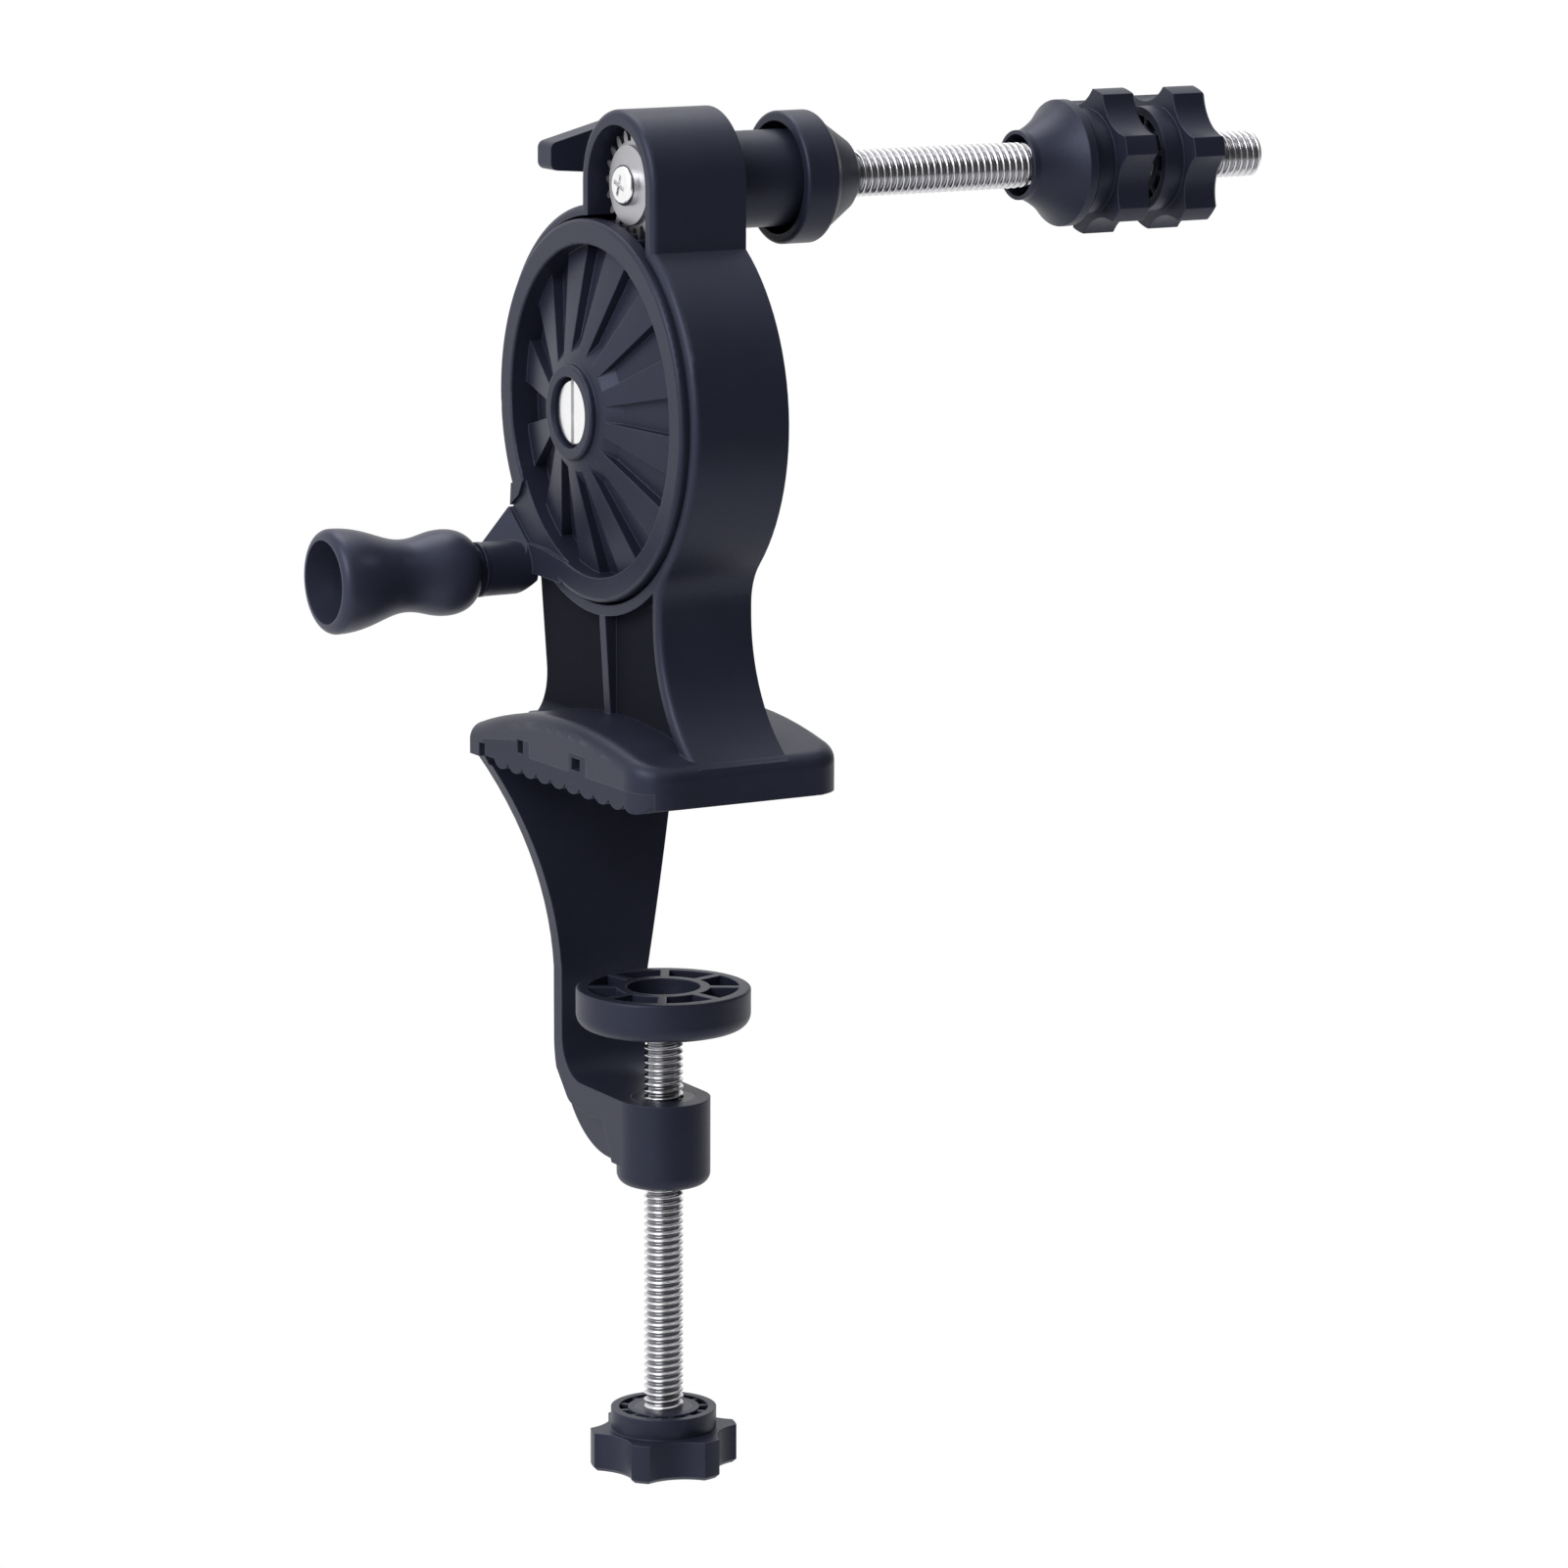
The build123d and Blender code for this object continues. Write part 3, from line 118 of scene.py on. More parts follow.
# ---------------------------------------------------------------- sizes and colours
class WinderThreadSizes(bpy.types.PropertyGroup):
    """Sizes of the screw threads on the spindle and the clamp screw."""
    spindle_radius: bpy.props.FloatProperty(
        name="Spindle radius", description="Radius over the spindle's thread crests",
        default=4.75 * MM, unit="LENGTH")
    spindle_pitch: bpy.props.FloatProperty(
        name="Spindle pitch", description="Distance from one spindle thread crest to the next",
        default=1.5 * MM, unit="LENGTH")
    spindle_depth: bpy.props.FloatProperty(
        name="Spindle thread depth", description="Height of the spindle's thread",
        default=0.86 * MM, unit="LENGTH")
    clamp_radius: bpy.props.FloatProperty(
        name="Clamp screw radius", description="Radius over the clamp screw's thread crests",
        default=4.1 * MM, unit="LENGTH")
    clamp_pitch: bpy.props.FloatProperty(
        name="Clamp screw pitch", description="Distance from one clamp thread crest to the next",
        default=1.5 * MM, unit="LENGTH")
    clamp_depth: bpy.props.FloatProperty(
        name="Clamp thread depth", description="Height of the clamp screw's thread",
        default=0.8 * MM, unit="LENGTH")


class WinderFinishes(bpy.types.PropertyGroup):
    """Colours of the winder's plastic and steel."""
    plastic: bpy.props.FloatVectorProperty(
        name="Moulded plastic", description="Colour of the black moulded plastic",
        default=(0.0145, 0.0160, 0.0290), subtype="COLOR", size=3, min=0, max=1)
    grip: bpy.props.FloatVectorProperty(
        name="Grip plastic", description="Colour of the crank's grip",
        default=(0.0250, 0.0270, 0.0460), subtype="COLOR", size=3, min=0, max=1)
    pad: bpy.props.FloatVectorProperty(
        name="Jaw pad", description="Colour of the soft pad under the clamp plate",
        default=(0.020, 0.0215, 0.034), subtype="COLOR", size=3, min=0, max=1)
    steel: bpy.props.FloatVectorProperty(
        name="Zinc plated steel", description="Colour of the plated threads, inserts and washers",
        default=(0.74, 0.74, 0.76), subtype="COLOR", size=3, min=0, max=1)
    screw_head: bpy.props.FloatVectorProperty(
        name="Screw heads", description="Colour of the turned heads of the axle and pinion screws",
        default=(0.95, 0.95, 0.96), subtype="COLOR", size=3, min=0, max=1)
    # Painted shade: the colour painted into the thread roots for the shade between the crests
    thread_root: bpy.props.FloatVectorProperty(
        name="Thread root", description="Colour of the oily roots between the thread crests",
        default=(0.25, 0.25, 0.275), subtype="COLOR", size=3, min=0, max=1)
    gear: bpy.props.FloatVectorProperty(
        name="Gear steel", description="Colour of the sintered steel pinion",
        default=(0.50, 0.50, 0.53), subtype="COLOR", size=3, min=0, max=1)


class WinderView(bpy.types.PropertyGroup):
    """Camera and light of the studio picture."""
    azimuth: bpy.props.FloatProperty(
        name="Azimuth", description="Direction the camera looks from, about the Z axis",
        default=math.radians(-29.8966), unit="ROTATION")
    elevation: bpy.props.FloatProperty(
        name="Elevation", description="Height of the camera above the horizon",
        default=math.radians(10.8755), unit="ROTATION")
    roll: bpy.props.FloatProperty(
        name="Roll", description="Turn of the camera about its own axis",
        default=math.radians(0.1834), unit="ROTATION")
    distance: bpy.props.FloatProperty(
        name="Distance", description="Depth of the aim point from the camera",
        default=1270.82 * MM, unit="LENGTH")
    focal_pixels: bpy.props.FloatProperty(
        name="Focal length", description="Focal length in pixels of the 1601 pixel wide picture",
        default=6488.58)
    aim: bpy.props.FloatVectorProperty(
        name="Aim point", description="Point that falls on the aim pixel",
        default=(-14.0 * MM, 6.0 * MM, 121.5 * MM), subtype="XYZ", unit="LENGTH", size=3)
    aim_pixel: bpy.props.FloatVectorProperty(
        name="Aim pixel",
        description="Pixel of the 1601 pixel wide picture that the aim point falls on",
        default=(599.575, 186.092), size=2)
    key_light: bpy.props.FloatProperty(
        name="Key light", description="Power of the large soft light on the crank's side, in watts",
        default=14.0, min=0)
    top_light: bpy.props.FloatProperty(
        name="Top light", description="Power of the overhead soft light, in watts",
        default=10.0, min=0)


# ---------------------------------------------------------------- mesh helpers
def grid_mesh(name, points, root):
    """A mesh from a (rows, columns, 3) array of points: each row is a ring of columns points.

    Neighbouring rings are joined by quads. The first and last rings shrink to almost nothing,
    and their points lie together without being merged. root is each point's share of the
    thread's depth, kept as the attribute thread_root.
    """
    rows, columns, _ = points.shape
    index = np.arange(rows * columns).reshape(rows, columns)
    right = np.roll(index, -1, axis=1)
    quads = np.stack([index[:-1], right[:-1], right[1:], index[1:]], axis=-1).reshape(-1, 4)
    mesh = bpy.data.meshes.new(name)
    mesh.vertices.add(rows * columns)
    mesh.vertices.foreach_set("co", points.reshape(-1).astype(np.float32))
    mesh.loops.add(quads.size)
    mesh.loops.foreach_set("vertex_index", quads.reshape(-1).astype(np.int32))
    mesh.polygons.add(len(quads))
    mesh.polygons.foreach_set("loop_start", np.arange(0, quads.size, 4, dtype=np.int32))
    mesh.polygons.foreach_set("loop_total", np.full(len(quads), 4, dtype=np.int32))
    mesh.polygons.foreach_set("use_smooth", np.ones(len(quads), dtype=bool))
    mesh.attributes.new("thread_root", "FLOAT", "POINT").data.foreach_set(
        "value", root.reshape(-1).astype(np.float32))
    mesh.update(calc_edges=True)
    thing = bpy.data.objects.new(name, mesh)
    bpy.context.scene.collection.objects.link(thing)
    return thing


def thread_height(phase, crest, root):
    """Thread profile over one turn: 0 at the crest flat, 1 at the root flat, straight flanks.

    phase runs from 0 to 1 along the pitch; crest and root are the shares that are flat.
    """
    flank = (1 - crest - root) / 2
    folded = np.abs(((phase + 0.5) % 1.0) - 0.5)
    return np.clip((folded - crest / 2) / flank, 0, 1)


def threaded_bar(name, stations, core, pitch, depth, threaded, axis, columns=48, steps=10):
    """A bar of circular section whose threaded stretch carries a right-handed helix.

    stations are (along, radius) pairs of the plain bar. Between the two values of threaded the
    radius is radius - depth * thread_height(along / pitch - angle / 2 pi), fading out over one
    pitch at each end of the stretch, and never above the plain bar's own radius. Each ring has
    columns points, and the threaded stretch has steps rings to a pitch.
    """
    start, end = threaded
    fine = np.arange(start, end, pitch / steps)
    plain_at = np.array([s[0] for s in stations])
    plain_r = np.array([s[1] for s in stations])
    outside = [(a, r) for a, r in stations if a <= start or a >= end]
    along = np.concatenate([[a for a, _ in outside if a <= start], fine[1:],
                            [a for a, _ in outside if a >= end]])
    radius = np.concatenate([[r for a, r in outside if a <= start],
                             np.interp(fine[1:], plain_at, plain_r),
                             [r for a, r in outside if a >= end]])
    angle = np.linspace(0, 2 * np.pi, columns, endpoint=False)
    turn = along[:, None] / pitch - angle[None, :] / (2 * np.pi)
    fade = np.clip(np.minimum(along - start, end - along) / pitch, 0, 1)
    share = thread_height(turn, THREAD_CREST_SHARE, THREAD_ROOT_SHARE) * fade[:, None]
    shaped = np.minimum(radius[:, None], core - depth * share)
    shaped = np.maximum(shaped, np.minimum(radius[:, None], LEAST_RADIUS))
    ring_a = shaped * np.cos(angle)
    ring_b = shaped * np.sin(angle)
    line = np.repeat(along[:, None], columns, axis=1)
    if axis == "X":
        points = np.stack([line, ring_a + SPINDLE_Y, ring_b + SPINDLE_Z], axis=-1)
    else:
        points = np.stack([ring_a, ring_b, line], axis=-1)
    return grid_mesh(name, points, share)


# ---------------------------------------------------------------- materials
def new_material(name):
    """An empty node material with its Principled shader and the object's own coordinates."""
    material = bpy.data.materials.new(name)
    material.use_nodes = True
    nodes = material.node_tree.nodes
    shader = nodes["Principled BSDF"]
    place = nodes.new("ShaderNodeTexCoord")
    return material, shader, place


def noise(material, place, scale, detail, roughness=0.55):
    """Noise on the object's own coordinates, scale in cells per metre."""
    node = material.node_tree.nodes.new("ShaderNodeTexNoise")
    node.inputs["Scale"].default_value = scale
    node.inputs["Detail"].default_value = detail
    node.inputs["Roughness"].default_value = roughness
    material.node_tree.links.new(place.outputs["Object"], node.inputs["Vector"])
    return node


def spread(material, source, low, high):
    """The source's 0 to 1 range laid over low to high."""
    node = material.node_tree.nodes.new("ShaderNodeMapRange")
    node.inputs["To Min"].default_value = low
    node.inputs["To Max"].default_value = high
    material.node_tree.links.new(source, node.inputs["Value"])
    return node.outputs["Result"]


def tint(material, source, dark, light):
    """A colour that runs from dark to light with the source."""
    node = material.node_tree.nodes.new("ShaderNodeMix")
    node.data_type = "RGBA"
    node.inputs["A"].default_value = (*dark, 1)
    node.inputs["B"].default_value = (*light, 1)
    material.node_tree.links.new(source, node.inputs["Factor"])
    return node.outputs["Result"]


def bump(material, shader, source, height, rounded=None):
    """Surface relief of the given height in metres, over rounded edges where they are given."""
    node = material.node_tree.nodes.new("ShaderNodeBump")
    node.inputs["Strength"].default_value = 1.0
    node.inputs["Distance"].default_value = height
    material.node_tree.links.new(source, node.inputs["Height"])
    if rounded is not None:
        material.node_tree.links.new(rounded.outputs["Normal"], node.inputs["Normal"])
    material.node_tree.links.new(node.outputs["Normal"], shader.inputs["Normal"])


def rounded_edges(material, radius):
    """Normals of edges that are rounded by the given radius in metres."""
    node = material.node_tree.nodes.new("ShaderNodeBevel")
    node.samples = 6
    node.inputs["Radius"].default_value = radius
    return node


def edge_mask(material, rounded):
    """Near 1 on an edge, where the rounded normal leaves the face's own, and 0 on the faces."""
    nodes, links = material.node_tree.nodes, material.node_tree.links
    face = nodes.new("ShaderNodeNewGeometry")
    match = nodes.new("ShaderNodeVectorMath")
    match.operation = "DOT_PRODUCT"
    links.new(rounded.outputs["Normal"], match.inputs[0])
    links.new(face.outputs["Normal"], match.inputs[1])
    lay = nodes.new("ShaderNodeMapRange")
    lay.inputs["From Min"].default_value = EDGE_MATCH[0]
    lay.inputs["From Max"].default_value = EDGE_MATCH[1]
    links.new(match.outputs["Value"], lay.inputs["Value"])
    return lay.outputs["Result"]


def mixed(material, first, second, operation):
    """Two values joined by one operation, kept within 0 to 1."""
    node = material.node_tree.nodes.new("ShaderNodeMath")
    node.operation = operation
    node.use_clamp = True
    material.node_tree.links.new(first, node.inputs[0])
    material.node_tree.links.new(second, node.inputs[1])
    return node.outputs["Value"]


def moulded_plastic(name, colour, roughness, grain_height, grain_scale):
    """Black injection-moulded plastic: spark-eroded grain, faint flow clouds, and a painted
    highlight that paints the edges lighter.
    """
    material, shader, place = new_material(name)
    links = material.node_tree.links
    cloud = noise(material, place, 70, 4)
    grain = noise(material, place, grain_scale, 3, 0.65)
    rounded = rounded_edges(material, EDGE_RADIUS)
    # Painted highlight: the edges are painted lighter in the base colour, patchy with the flow
    # clouds
    painted_highlight_share = mixed(material, edge_mask(material, rounded), cloud.outputs["Fac"], "MULTIPLY")
    light = tuple(min(1.0, c * 1.3) for c in colour)
    dark = tuple(c * 0.8 for c in colour)
    highlight_colour = tuple(min(1.0, c * 3.0 + 0.02) for c in colour)
    body = tint(material, cloud.outputs["Fac"], dark, light)
    painted_edge_highlight = material.node_tree.nodes.new("ShaderNodeMix")
    painted_edge_highlight.data_type = "RGBA"
    painted_edge_highlight.inputs["B"].default_value = (*highlight_colour, 1)
    links.new(body, painted_edge_highlight.inputs["A"])
    links.new(painted_highlight_share, painted_edge_highlight.inputs["Factor"])
    links.new(painted_edge_highlight.outputs["Result"], shader.inputs["Base Color"])
    patches = mixed(material, cloud.outputs["Fac"], grain.outputs["Fac"], "MULTIPLY")
    links.new(spread(material, patches, roughness - 0.1, roughness + 0.16),
              shader.inputs["Roughness"])
    shader.inputs["IOR"].default_value = 1.45
    shader.inputs["Specular IOR Level"].default_value = 0.36
    shader.inputs["Specular Tint"].default_value = (0.70, 0.74, 1.0, 1)
    bump(material, shader, grain.outputs["Fac"], grain_height, rounded)
    return material


def dull_pocket_painted_shade(material):
    """Painted shade and a dull finish for the column's pocket, whose web lies between POCKET_X.

    The painted shade and the dullness fade in with the point's own x, between the two planes, with
    its height, and with how squarely its face looks along -X.
    """
    nodes, links = material.node_tree.nodes, material.node_tree.links
    shader = nodes["Principled BSDF"]
    place = nodes.new("ShaderNodeTexCoord")
    split = nodes.new("ShaderNodeSeparateXYZ")
    links.new(place.outputs["Object"], split.inputs["Vector"])
    face = nodes.new("ShaderNodeNewGeometry")
    facing = nodes.new("ShaderNodeSeparateXYZ")
    links.new(face.outputs["Normal"], facing.inputs["Vector"])
    square = nodes.new("ShaderNodeMapRange")
    square.inputs["From Min"].default_value = POCKET_FACING[0]
    square.inputs["From Max"].default_value = POCKET_FACING[1]
    links.new(facing.outputs["X"], square.inputs["Value"])
    share = square.outputs["Result"]
    for axis, low, high in (("X", POCKET_X[0], POCKET_X[0] + POCKET_FADE_X),
                            ("X", POCKET_X[1], POCKET_X[1] - POCKET_FADE_X),
                            ("Z", POCKET_Z[0], POCKET_Z[0] + POCKET_FADE_Z),
                            ("Z", POCKET_Z[1], POCKET_Z[1] - POCKET_FADE_Z)):
        edge = nodes.new("ShaderNodeMapRange")
        edge.inputs["From Min"].default_value = low
        edge.inputs["From Max"].default_value = high
        links.new(split.outputs[axis], edge.inputs["Value"])
        share = mixed(material, share, edge.outputs["Result"], "MULTIPLY")
    dull = nodes.new("ShaderNodeMix")
    dull.inputs["B"].default_value = POCKET_ROUGHNESS
    links.new(share, dull.inputs["Factor"])
    links.new(shader.inputs["Roughness"].links[0].from_socket, dull.inputs["A"])
    links.new(dull.outputs["Result"], shader.inputs["Roughness"])
    # Painted shade: the base colour is painted towards the dark pocket colour, for the shade in the
    # deep pocket
    dark = nodes.new("ShaderNodeMix")
    dark.data_type = "RGBA"
    dark.inputs["B"].default_value = POCKET_SHADE_COLOUR
    links.new(share, dark.inputs["Factor"])
    links.new(shader.inputs["Base Color"].links[0].from_socket, dark.inputs["A"])
    links.new(dark.outputs["Result"], shader.inputs["Base Color"])


def plated_steel(name, colour, roughness):
    """Bright zinc plating: metal with faint cloudy roughness and relief."""
    material, shader, place = new_material(name)
    links = material.node_tree.links
    cloud = noise(material, place, 400, 3)
    shader.inputs["Metallic"].default_value = 1.0
    light = tuple(min(1.0, c * 1.04) for c in colour)
    dark = tuple(c * 0.92 for c in colour)
    links.new(tint(material, cloud.outputs["Fac"], dark, light), shader.inputs["Base Color"])
    links.new(spread(material, cloud.outputs["Fac"], roughness - 0.06, roughness + 0.08),
              shader.inputs["Roughness"])
    bump(material, shader, cloud.outputs["Fac"], PLATING_RELIEF)
    return material


def threaded_steel(name, colour, root_shade_colour, roughness):
    """Plated steel whose thread roots, read from thread_root, are painted darker: painted shade
    between the crests.
    """
    material = plated_steel(name, colour, roughness)
    nodes, links = material.node_tree.nodes, material.node_tree.links
    shader = nodes["Principled BSDF"]
    crest = shader.inputs["Base Color"].links[0].from_socket
    # Painted shade: the thread roots are painted darker, towards the thread-root colour
    mark = nodes.new("ShaderNodeAttribute")
    mark.attribute_name = "thread_root"
    depth = nodes.new("ShaderNodeMapRange")
    depth.interpolation_type = "SMOOTHSTEP"
    depth.inputs["From Min"].default_value = 0.15
    depth.inputs["From Max"].default_value = 0.95
    links.new(mark.outputs["Fac"], depth.inputs["Value"])
    shade_painted = nodes.new("ShaderNodeMix")
    shade_painted.data_type = "RGBA"
    shade_painted.inputs["B"].default_value = (*root_shade_colour, 1)
    links.new(crest, shade_painted.inputs["A"])
    links.new(depth.outputs["Result"], shade_painted.inputs["Factor"])
    links.new(shade_painted.outputs["Result"], shader.inputs["Base Color"])
    return material


def dress(nodes, material):
    """Give CAD nodes one material."""
    for node in nodes:
        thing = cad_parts[node]
        thing.data.materials.clear()
        thing.data.materials.append(material)


# ---------------------------------------------------------------- operators
class WINDER_OT_plastic(bpy.types.Operator):
    """Finish the moulded plastic, the grip, the pad and the bushings"""
    bl_idname = "winder.plastic"
    bl_label = "Finish plastic"

    def execute(self, context):
        finish = context.scene.winder_finishes
        black = tuple(finish.plastic)
        plastic = moulded_plastic("winder_moulded_plastic", black, *MOULDED_FINISH)
        grip = moulded_plastic("winder_grip_plastic", tuple(finish.grip), *GRIP_FINISH)
        pad = moulded_plastic("winder_jaw_pad", tuple(finish.pad), *PAD_FINISH)
        bushing = moulded_plastic("winder_bushing", black, *BUSHING_FINISH)
        housing = moulded_plastic("winder_housing_plastic", black, *MOULDED_FINISH)
        # Painted shade in the column's pocket, with a duller finish there
        dull_pocket_painted_shade(housing)
        dress(HOUSING_NODES, housing)
        dress(PLASTIC_NODES, plastic)
        dress(GRIP_NODES, grip)
        dress(PAD_NODES, pad)
        dress(BUSHING_AND_HOLE_SHADE_NODES, bushing)
        return {"FINISHED"}


class WINDER_OT_steel(bpy.types.Operator):
    """Finish the plated screws, inserts and washers and the steel pinion"""
    bl_idname = "winder.steel"
    bl_label = "Finish steel"

    def execute(self, context):
        finish = context.scene.winder_finishes
        dress(BRIGHT_NODES, plated_steel("winder_plated_steel", tuple(finish.steel), 0.26))
        dress(HEAD_NODES, plated_steel("winder_screw_heads", tuple(finish.screw_head), 0.2))
        threaded_steel("winder_threaded_steel", tuple(finish.steel), tuple(finish.thread_root), 0.2)
        dress(GEAR_NODES, plated_steel("winder_gear_steel", tuple(finish.gear), 0.36))
        return {"FINISHED"}


class WINDER_OT_spindle(bpy.types.Operator):
    """Make the threaded spindle"""
    bl_idname = "winder.spindle"
    bl_label = "Make spindle"

    def execute(self, context):
        size = context.scene.winder_threads
        low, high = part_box("spindle_rod")
        start, end = low[0], high[0]
        shoulder = -0.7 * MM
        chamfer = 0.8 * MM
        spigot = 3.2 * MM
        plain_end = 30.5 * MM
        threaded = (30.6 * MM, end - 0.05 * MM)
        radius = size.spindle_radius
        stations = [(start, 0.0), (start, spigot), (shoulder, spigot), (shoulder, radius),
                    (plain_end, radius), (end - chamfer, radius), (end, radius - chamfer),
                    (end, 0.0)]
        bar = threaded_bar("spindle_thread", stations, radius, size.spindle_pitch,
                           size.spindle_depth, threaded, "X")
        bar.data.materials.append(bpy.data.materials["winder_threaded_steel"])
        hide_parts("spindle_rod")
        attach(bar, "spindle")
        return {"FINISHED"}


class WINDER_OT_clamp_screw(bpy.types.Operator):
    """Make the threaded clamp screw"""
    bl_idname = "winder.clamp_screw"
    bl_label = "Make clamp screw"

    def execute(self, context):
        size = context.scene.winder_threads
        low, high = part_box("clamp_screw")
        bottom, top = low[2], high[2]
        shoulder = -52.0 * MM
        spigot = 2.6 * MM
        threaded = (-133.0 * MM, -53.0 * MM)
        radius = size.clamp_radius
        stations = [(bottom, 0.0), (bottom, radius), (shoulder, radius), (shoulder, spigot),
                    (top, spigot), (top, 0.0)]
        bar = threaded_bar("clamp_thread", stations, radius, size.clamp_pitch, size.clamp_depth,
                           threaded, "Z")
        bar.data.materials.append(bpy.data.materials["winder_threaded_steel"])
        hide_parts("clamp_screw")
        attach(bar, "clamp_drive")
        return {"FINISHED"}


class WINDER_OT_stage(bpy.types.Operator):
    """Set the white sweep, the soft lights and the camera"""
    bl_idname = "winder.stage"
    bl_label = "Set stage"

    def execute(self, context):
        view = context.scene.winder_view
        make_sweep()
        make_world()
        make_lights(view)
        make_camera(view)
        context.scene.view_settings.view_transform = "Standard"
        return {"FINISHED"}


def make_sweep():
    """A pale floor well below the clamp that curves up into a backdrop behind the part.

    Across x it is straight; along the run it is a floor line, a quarter circle and a wall line.
    """
    floor_z, wall_y, bend, half, front_y, top_z = -0.45, 1.9, 0.5, 3.0, -0.8, 2.6
    arc = np.linspace(0, np.pi / 2, 24)
    run_y = np.concatenate([[front_y], wall_y - bend + bend * np.sin(arc), [wall_y]])
    run_z = np.concatenate([[floor_z], floor_z + bend - bend * np.cos(arc), [top_z]])
    across = np.linspace(-half, half, 2)
    grid_y, grid_x = np.meshgrid(run_y, across, indexing="ij")
    grid_z = np.repeat(run_z[:, None], len(across), axis=1)
    points = np.stack([grid_x, grid_y, grid_z], axis=-1).reshape(-1, 3)
    rows = len(run_y)
    index = np.arange(rows * 2).reshape(rows, 2)
    faces = np.stack([index[:-1, 0], index[:-1, 1], index[1:, 1], index[1:, 0]], axis=-1)
    mesh = bpy.data.meshes.new("sweep")
    mesh.from_pydata(points.tolist(), [], faces.tolist())
    mesh.polygons.foreach_set("use_smooth", np.ones(len(faces), dtype=bool))
    sweep = bpy.data.objects.new("sweep", mesh)
    bpy.context.scene.collection.objects.link(sweep)
    material = bpy.data.materials.new("pale_sweep")
    material.use_nodes = True
    nodes = material.node_tree.nodes
    links = material.node_tree.links
    shader = nodes["Principled BSDF"]
    shader.inputs["Base Color"].default_value = (0.86, 0.86, 0.86, 1)
    shader.inputs["Roughness"].default_value = 0.9
    shader.inputs["Specular IOR Level"].default_value = 0.1
    glow = nodes.new("ShaderNodeEmission")
    glow.inputs["Color"].default_value = (1, 1, 1, 1)
    glow.inputs["Strength"].default_value = 1.0
    either = nodes.new("ShaderNodeMixShader")
    links.new(seen_directly(nodes, links), either.inputs["Fac"])
    links.new(shader.outputs["BSDF"], either.inputs[1])
    links.new(glow.outputs["Emission"], either.inputs[2])
    links.new(either.outputs["Shader"], nodes["Material Output"].inputs["Surface"])
    mesh.materials.append(material)


def seen_directly(nodes, links):
    """1 for camera, glossy and transmission rays, 0 for the rays that light the part."""
    path = nodes.new("ShaderNodeLightPath")
    first = nodes.new("ShaderNodeMath")
    first.operation = "MAXIMUM"
    links.new(path.outputs["Is Camera Ray"], first.inputs[0])
    links.new(path.outputs["Is Glossy Ray"], first.inputs[1])
    second = nodes.new("ShaderNodeMath")
    second.operation = "MAXIMUM"
    links.new(first.outputs["Value"], second.inputs[0])
    links.new(path.outputs["Is Transmission Ray"], second.inputs[1])
    return second.outputs["Value"]


def make_world():
    """A white surround with a darker front, plain white to camera and transmission rays.

    The strength that mirrors in the part is 1 - FRONT_SHADE * front * level, where front rises
    from 0 to 1 with the direction's dot product with DARK_SIDE, and level falls from 1 near the
    horizon to 0 towards the zenith and the floor. Other rays get PLAIN_SHARE of that.
    """
    world = bpy.data.worlds.new("studio")
    bpy.context.scene.world = world
    world.use_nodes = True
    nodes = world.node_tree.nodes
    links = world.node_tree.links
    back = nodes["Background"]
    back.inputs["Color"].default_value = (1, 1, 1, 1)
    place = nodes.new("ShaderNodeTexCoord")
    side = nodes.new("ShaderNodeVectorMath")
    side.operation = "DOT_PRODUCT"
    side.inputs[1].default_value = DARK_SIDE
    links.new(place.outputs["Generated"], side.inputs[0])
    front = world_range(nodes, links, side.outputs["Value"], *FRONT_FADE, 0.0, 1.0)
    split = nodes.new("ShaderNodeSeparateXYZ")
    links.new(place.outputs["Generated"], split.inputs["Vector"])
    above = world_range(nodes, links, split.outputs["Z"], *ZENITH_FADE, 1.0, 0.0)
    below = world_range(nodes, links, split.outputs["Z"], *FLOOR_FADE, 0.0, 1.0)
    dark = world_math(nodes, links, front, above, "MULTIPLY")
    dark = world_math(nodes, links, dark, below, "MULTIPLY")
    lit = world_range(nodes, links, dark, 0.0, 1.0, 1.0, 1.0 - FRONT_SHADE)
    path = nodes.new("ShaderNodeLightPath")
    share = world_range(nodes, links, path.outputs["Is Glossy Ray"], 0.0, 1.0, PLAIN_SHARE, 1.0)
    lit = world_math(nodes, links, lit, share, "MULTIPLY")
    straight = world_math(nodes, links, path.outputs["Is Camera Ray"],
                          path.outputs["Is Transmission Ray"], "MAXIMUM")
    strength = nodes.new("ShaderNodeMix")
    strength.inputs["B"].default_value = 1.0
    links.new(straight, strength.inputs["Factor"])
    links.new(lit, strength.inputs["A"])
    links.new(strength.outputs["Result"], back.inputs["Strength"])


def world_range(nodes, links, source, low, high, start, end):
    """The source's range low to high laid smoothly over start to end."""
    node = nodes.new("ShaderNodeMapRange")
    node.interpolation_type = "SMOOTHSTEP"
    node.inputs["From Min"].default_value = low
    node.inputs["From Max"].default_value = high
    node.inputs["To Min"].default_value = start
    node.inputs["To Max"].default_value = end
    links.new(source, node.inputs["Value"])
    return node.outputs["Result"]


def world_math(nodes, links, first, second, operation):
    """Two values joined by one operation."""
    node = nodes.new("ShaderNodeMath")
    node.operation = operation
    links.new(first, node.inputs[0])
    links.new(second, node.inputs[1])
    return node.outputs["Value"]


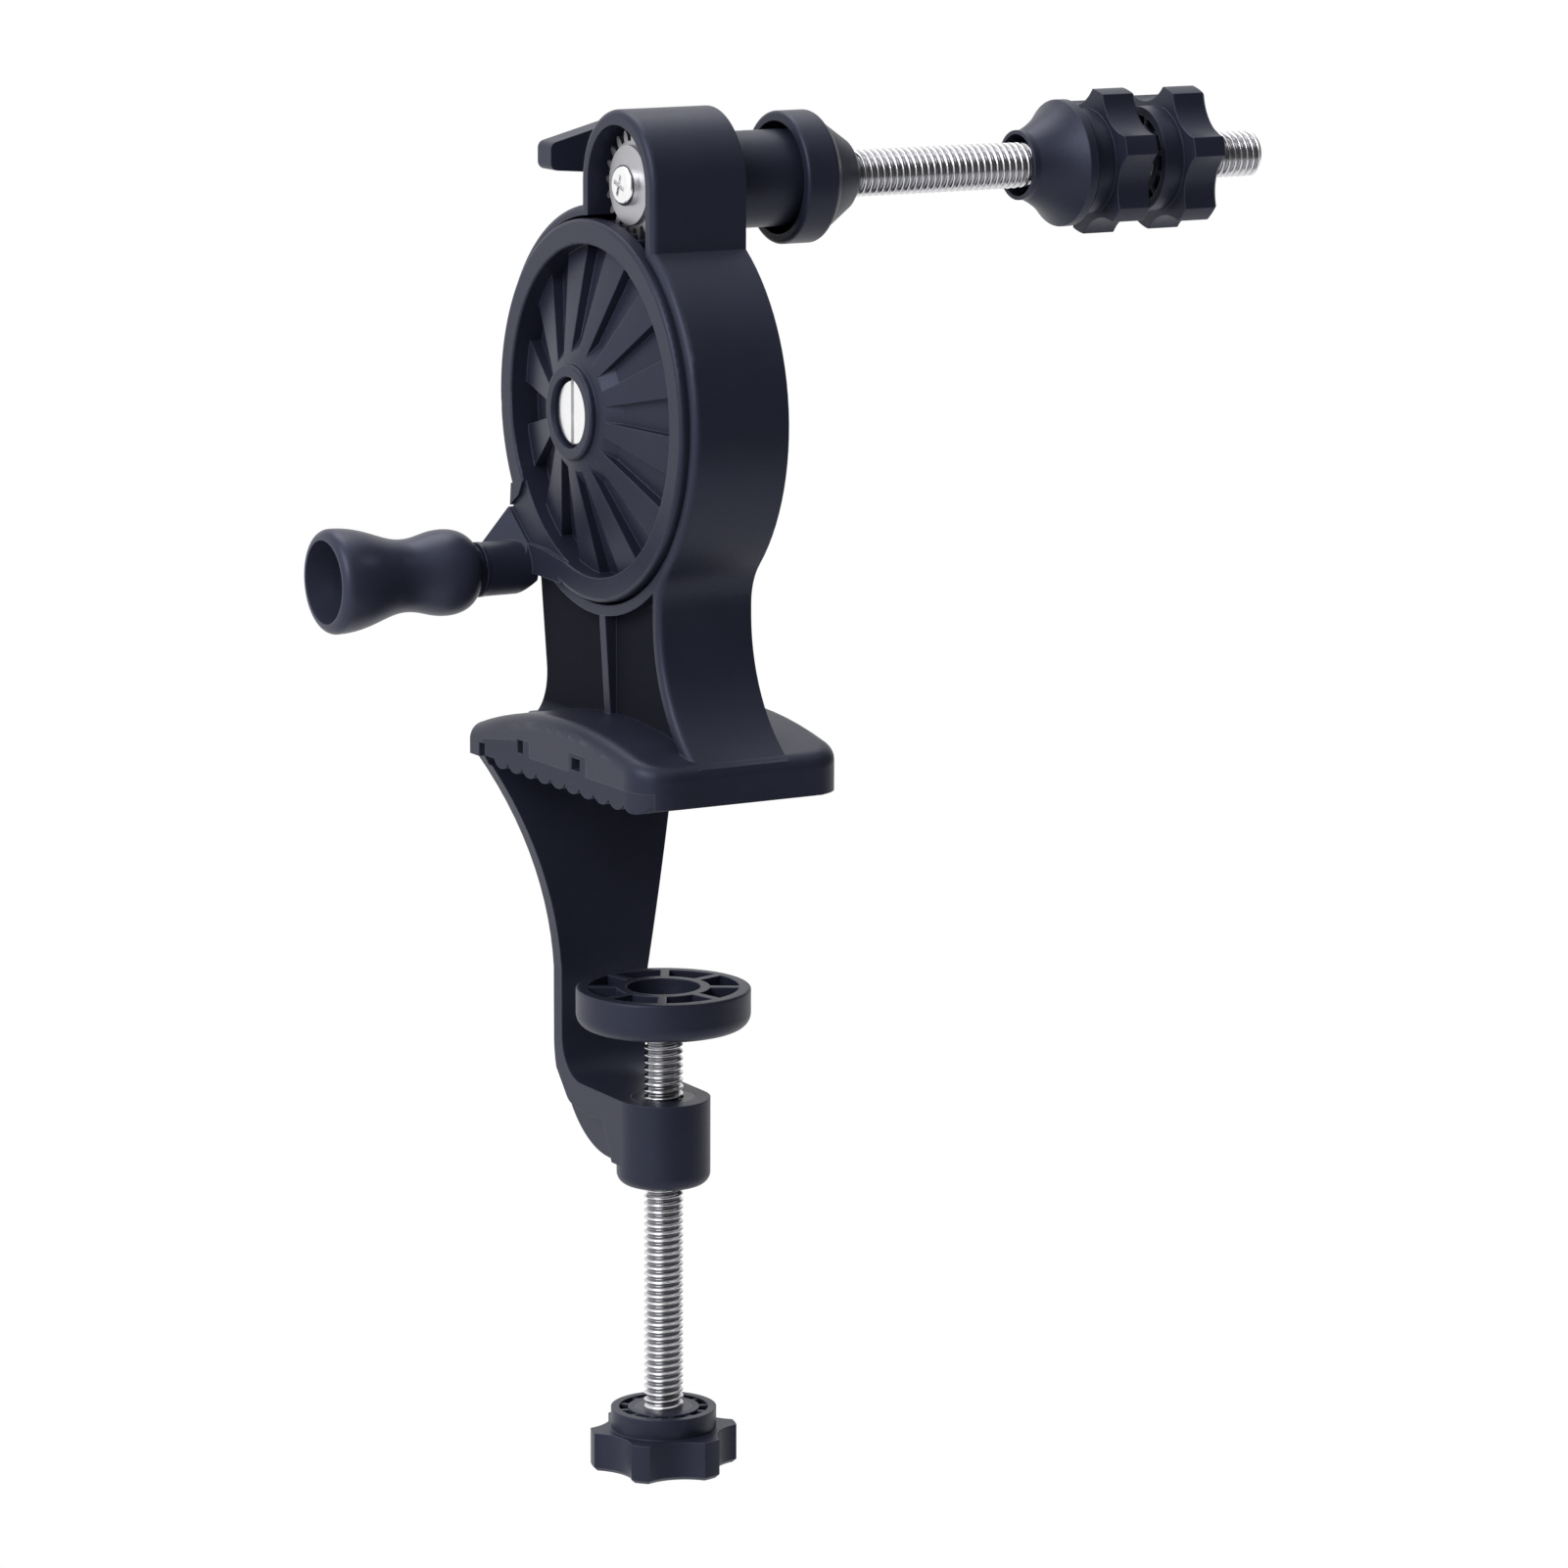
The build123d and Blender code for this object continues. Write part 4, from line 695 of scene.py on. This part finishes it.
def soft_light(name, place, target, size, power):
    """A square soft light at place that faces target."""
    lamp = bpy.data.lights.new(name, "AREA")
    lamp.shape = "SQUARE"
    lamp.size = size
    lamp.energy = power
    thing = bpy.data.objects.new(name, lamp)
    bpy.context.scene.collection.objects.link(thing)
    aim = (Vector(target) - Vector(place)).to_track_quat("-Z", "Y")
    thing.matrix_world = Matrix.Translation(place) @ aim.to_matrix().to_4x4()


def make_lights(view):
    """A large soft key light on the crank's side and a soft light overhead."""
    soft_light("key", *KEY_LAMP, view.key_light)
    soft_light("top", *TOP_LAMP, view.top_light)


def make_camera(view):
    """The photograph's camera: its aim point falls on its aim pixel, with no shift."""
    azimuth, elevation, roll = view.azimuth, view.elevation, view.roll
    back = np.array([math.sin(azimuth) * math.cos(elevation),
                     -math.cos(azimuth) * math.cos(elevation), math.sin(elevation)])
    level = np.array([math.cos(azimuth), math.sin(azimuth), 0.0])
    upright = np.cross(back, level)
    right = math.cos(roll) * level + math.sin(roll) * upright
    up = -math.sin(roll) * level + math.cos(roll) * upright
    off_x = (view.aim_pixel[0] - PICTURE_PIXELS / 2) / view.focal_pixels
    off_y = -(view.aim_pixel[1] - PICTURE_PIXELS / 2) / view.focal_pixels
    place = np.array(view.aim) + view.distance * (back - right * off_x - up * off_y)
    camera_data = bpy.data.cameras.new("camera")
    camera_data.sensor_width = SENSOR_WIDTH
    camera_data.lens = view.focal_pixels / PICTURE_PIXELS * SENSOR_WIDTH
    camera_data.clip_start = 0.05
    camera_data.clip_end = 20.0
    camera = bpy.data.objects.new("camera", camera_data)
    bpy.context.scene.collection.objects.link(camera)
    matrix = np.eye(4)
    matrix[:3, 0], matrix[:3, 1], matrix[:3, 2], matrix[:3, 3] = right, up, back, place
    camera.matrix_world = Matrix(matrix.tolist())
    bpy.context.scene.camera = camera


class WINDER_PT_panel(bpy.types.Panel):
    """Lists the winder's pieces and their sizes"""
    bl_idname = "WINDER_PT_panel"
    bl_label = "Line winder"
    bl_space_type = "VIEW_3D"
    bl_region_type = "UI"
    bl_category = "Winder"

    def draw(self, context):
        layout = self.layout
        for step in STEPS:
            layout.operator(step)
        for group in ("winder_threads", "winder_finishes", "winder_view"):
            settings = getattr(context.scene, group)
            box = layout.box()
            for name in settings.__annotations__:
                box.prop(settings, name)


STEPS = ("winder.plastic", "winder.steel", "winder.spindle", "winder.clamp_screw", "winder.stage")
CLASSES = (WinderThreadSizes, WinderFinishes, WinderView, WINDER_OT_plastic, WINDER_OT_steel,
           WINDER_OT_spindle, WINDER_OT_clamp_screw, WINDER_OT_stage, WINDER_PT_panel)


def register():
    """Make the settings, operators and panel known."""
    for item in CLASSES:
        bpy.utils.register_class(item)
    bpy.types.Scene.winder_threads = bpy.props.PointerProperty(type=WinderThreadSizes)
    bpy.types.Scene.winder_finishes = bpy.props.PointerProperty(type=WinderFinishes)
    bpy.types.Scene.winder_view = bpy.props.PointerProperty(type=WinderView)


def unregister():
    """Take the settings, operators and panel away again."""
    del bpy.types.Scene.winder_view
    del bpy.types.Scene.winder_finishes
    del bpy.types.Scene.winder_threads
    for item in reversed(CLASSES):
        bpy.utils.unregister_class(item)


def main():
    """Register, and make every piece."""
    register()
    for step in STEPS:
        group, name = step.split(".")
        getattr(getattr(bpy.ops, group), name)()
    bpy.context.view_layer.update()


if __name__ == "__main__":
    main()
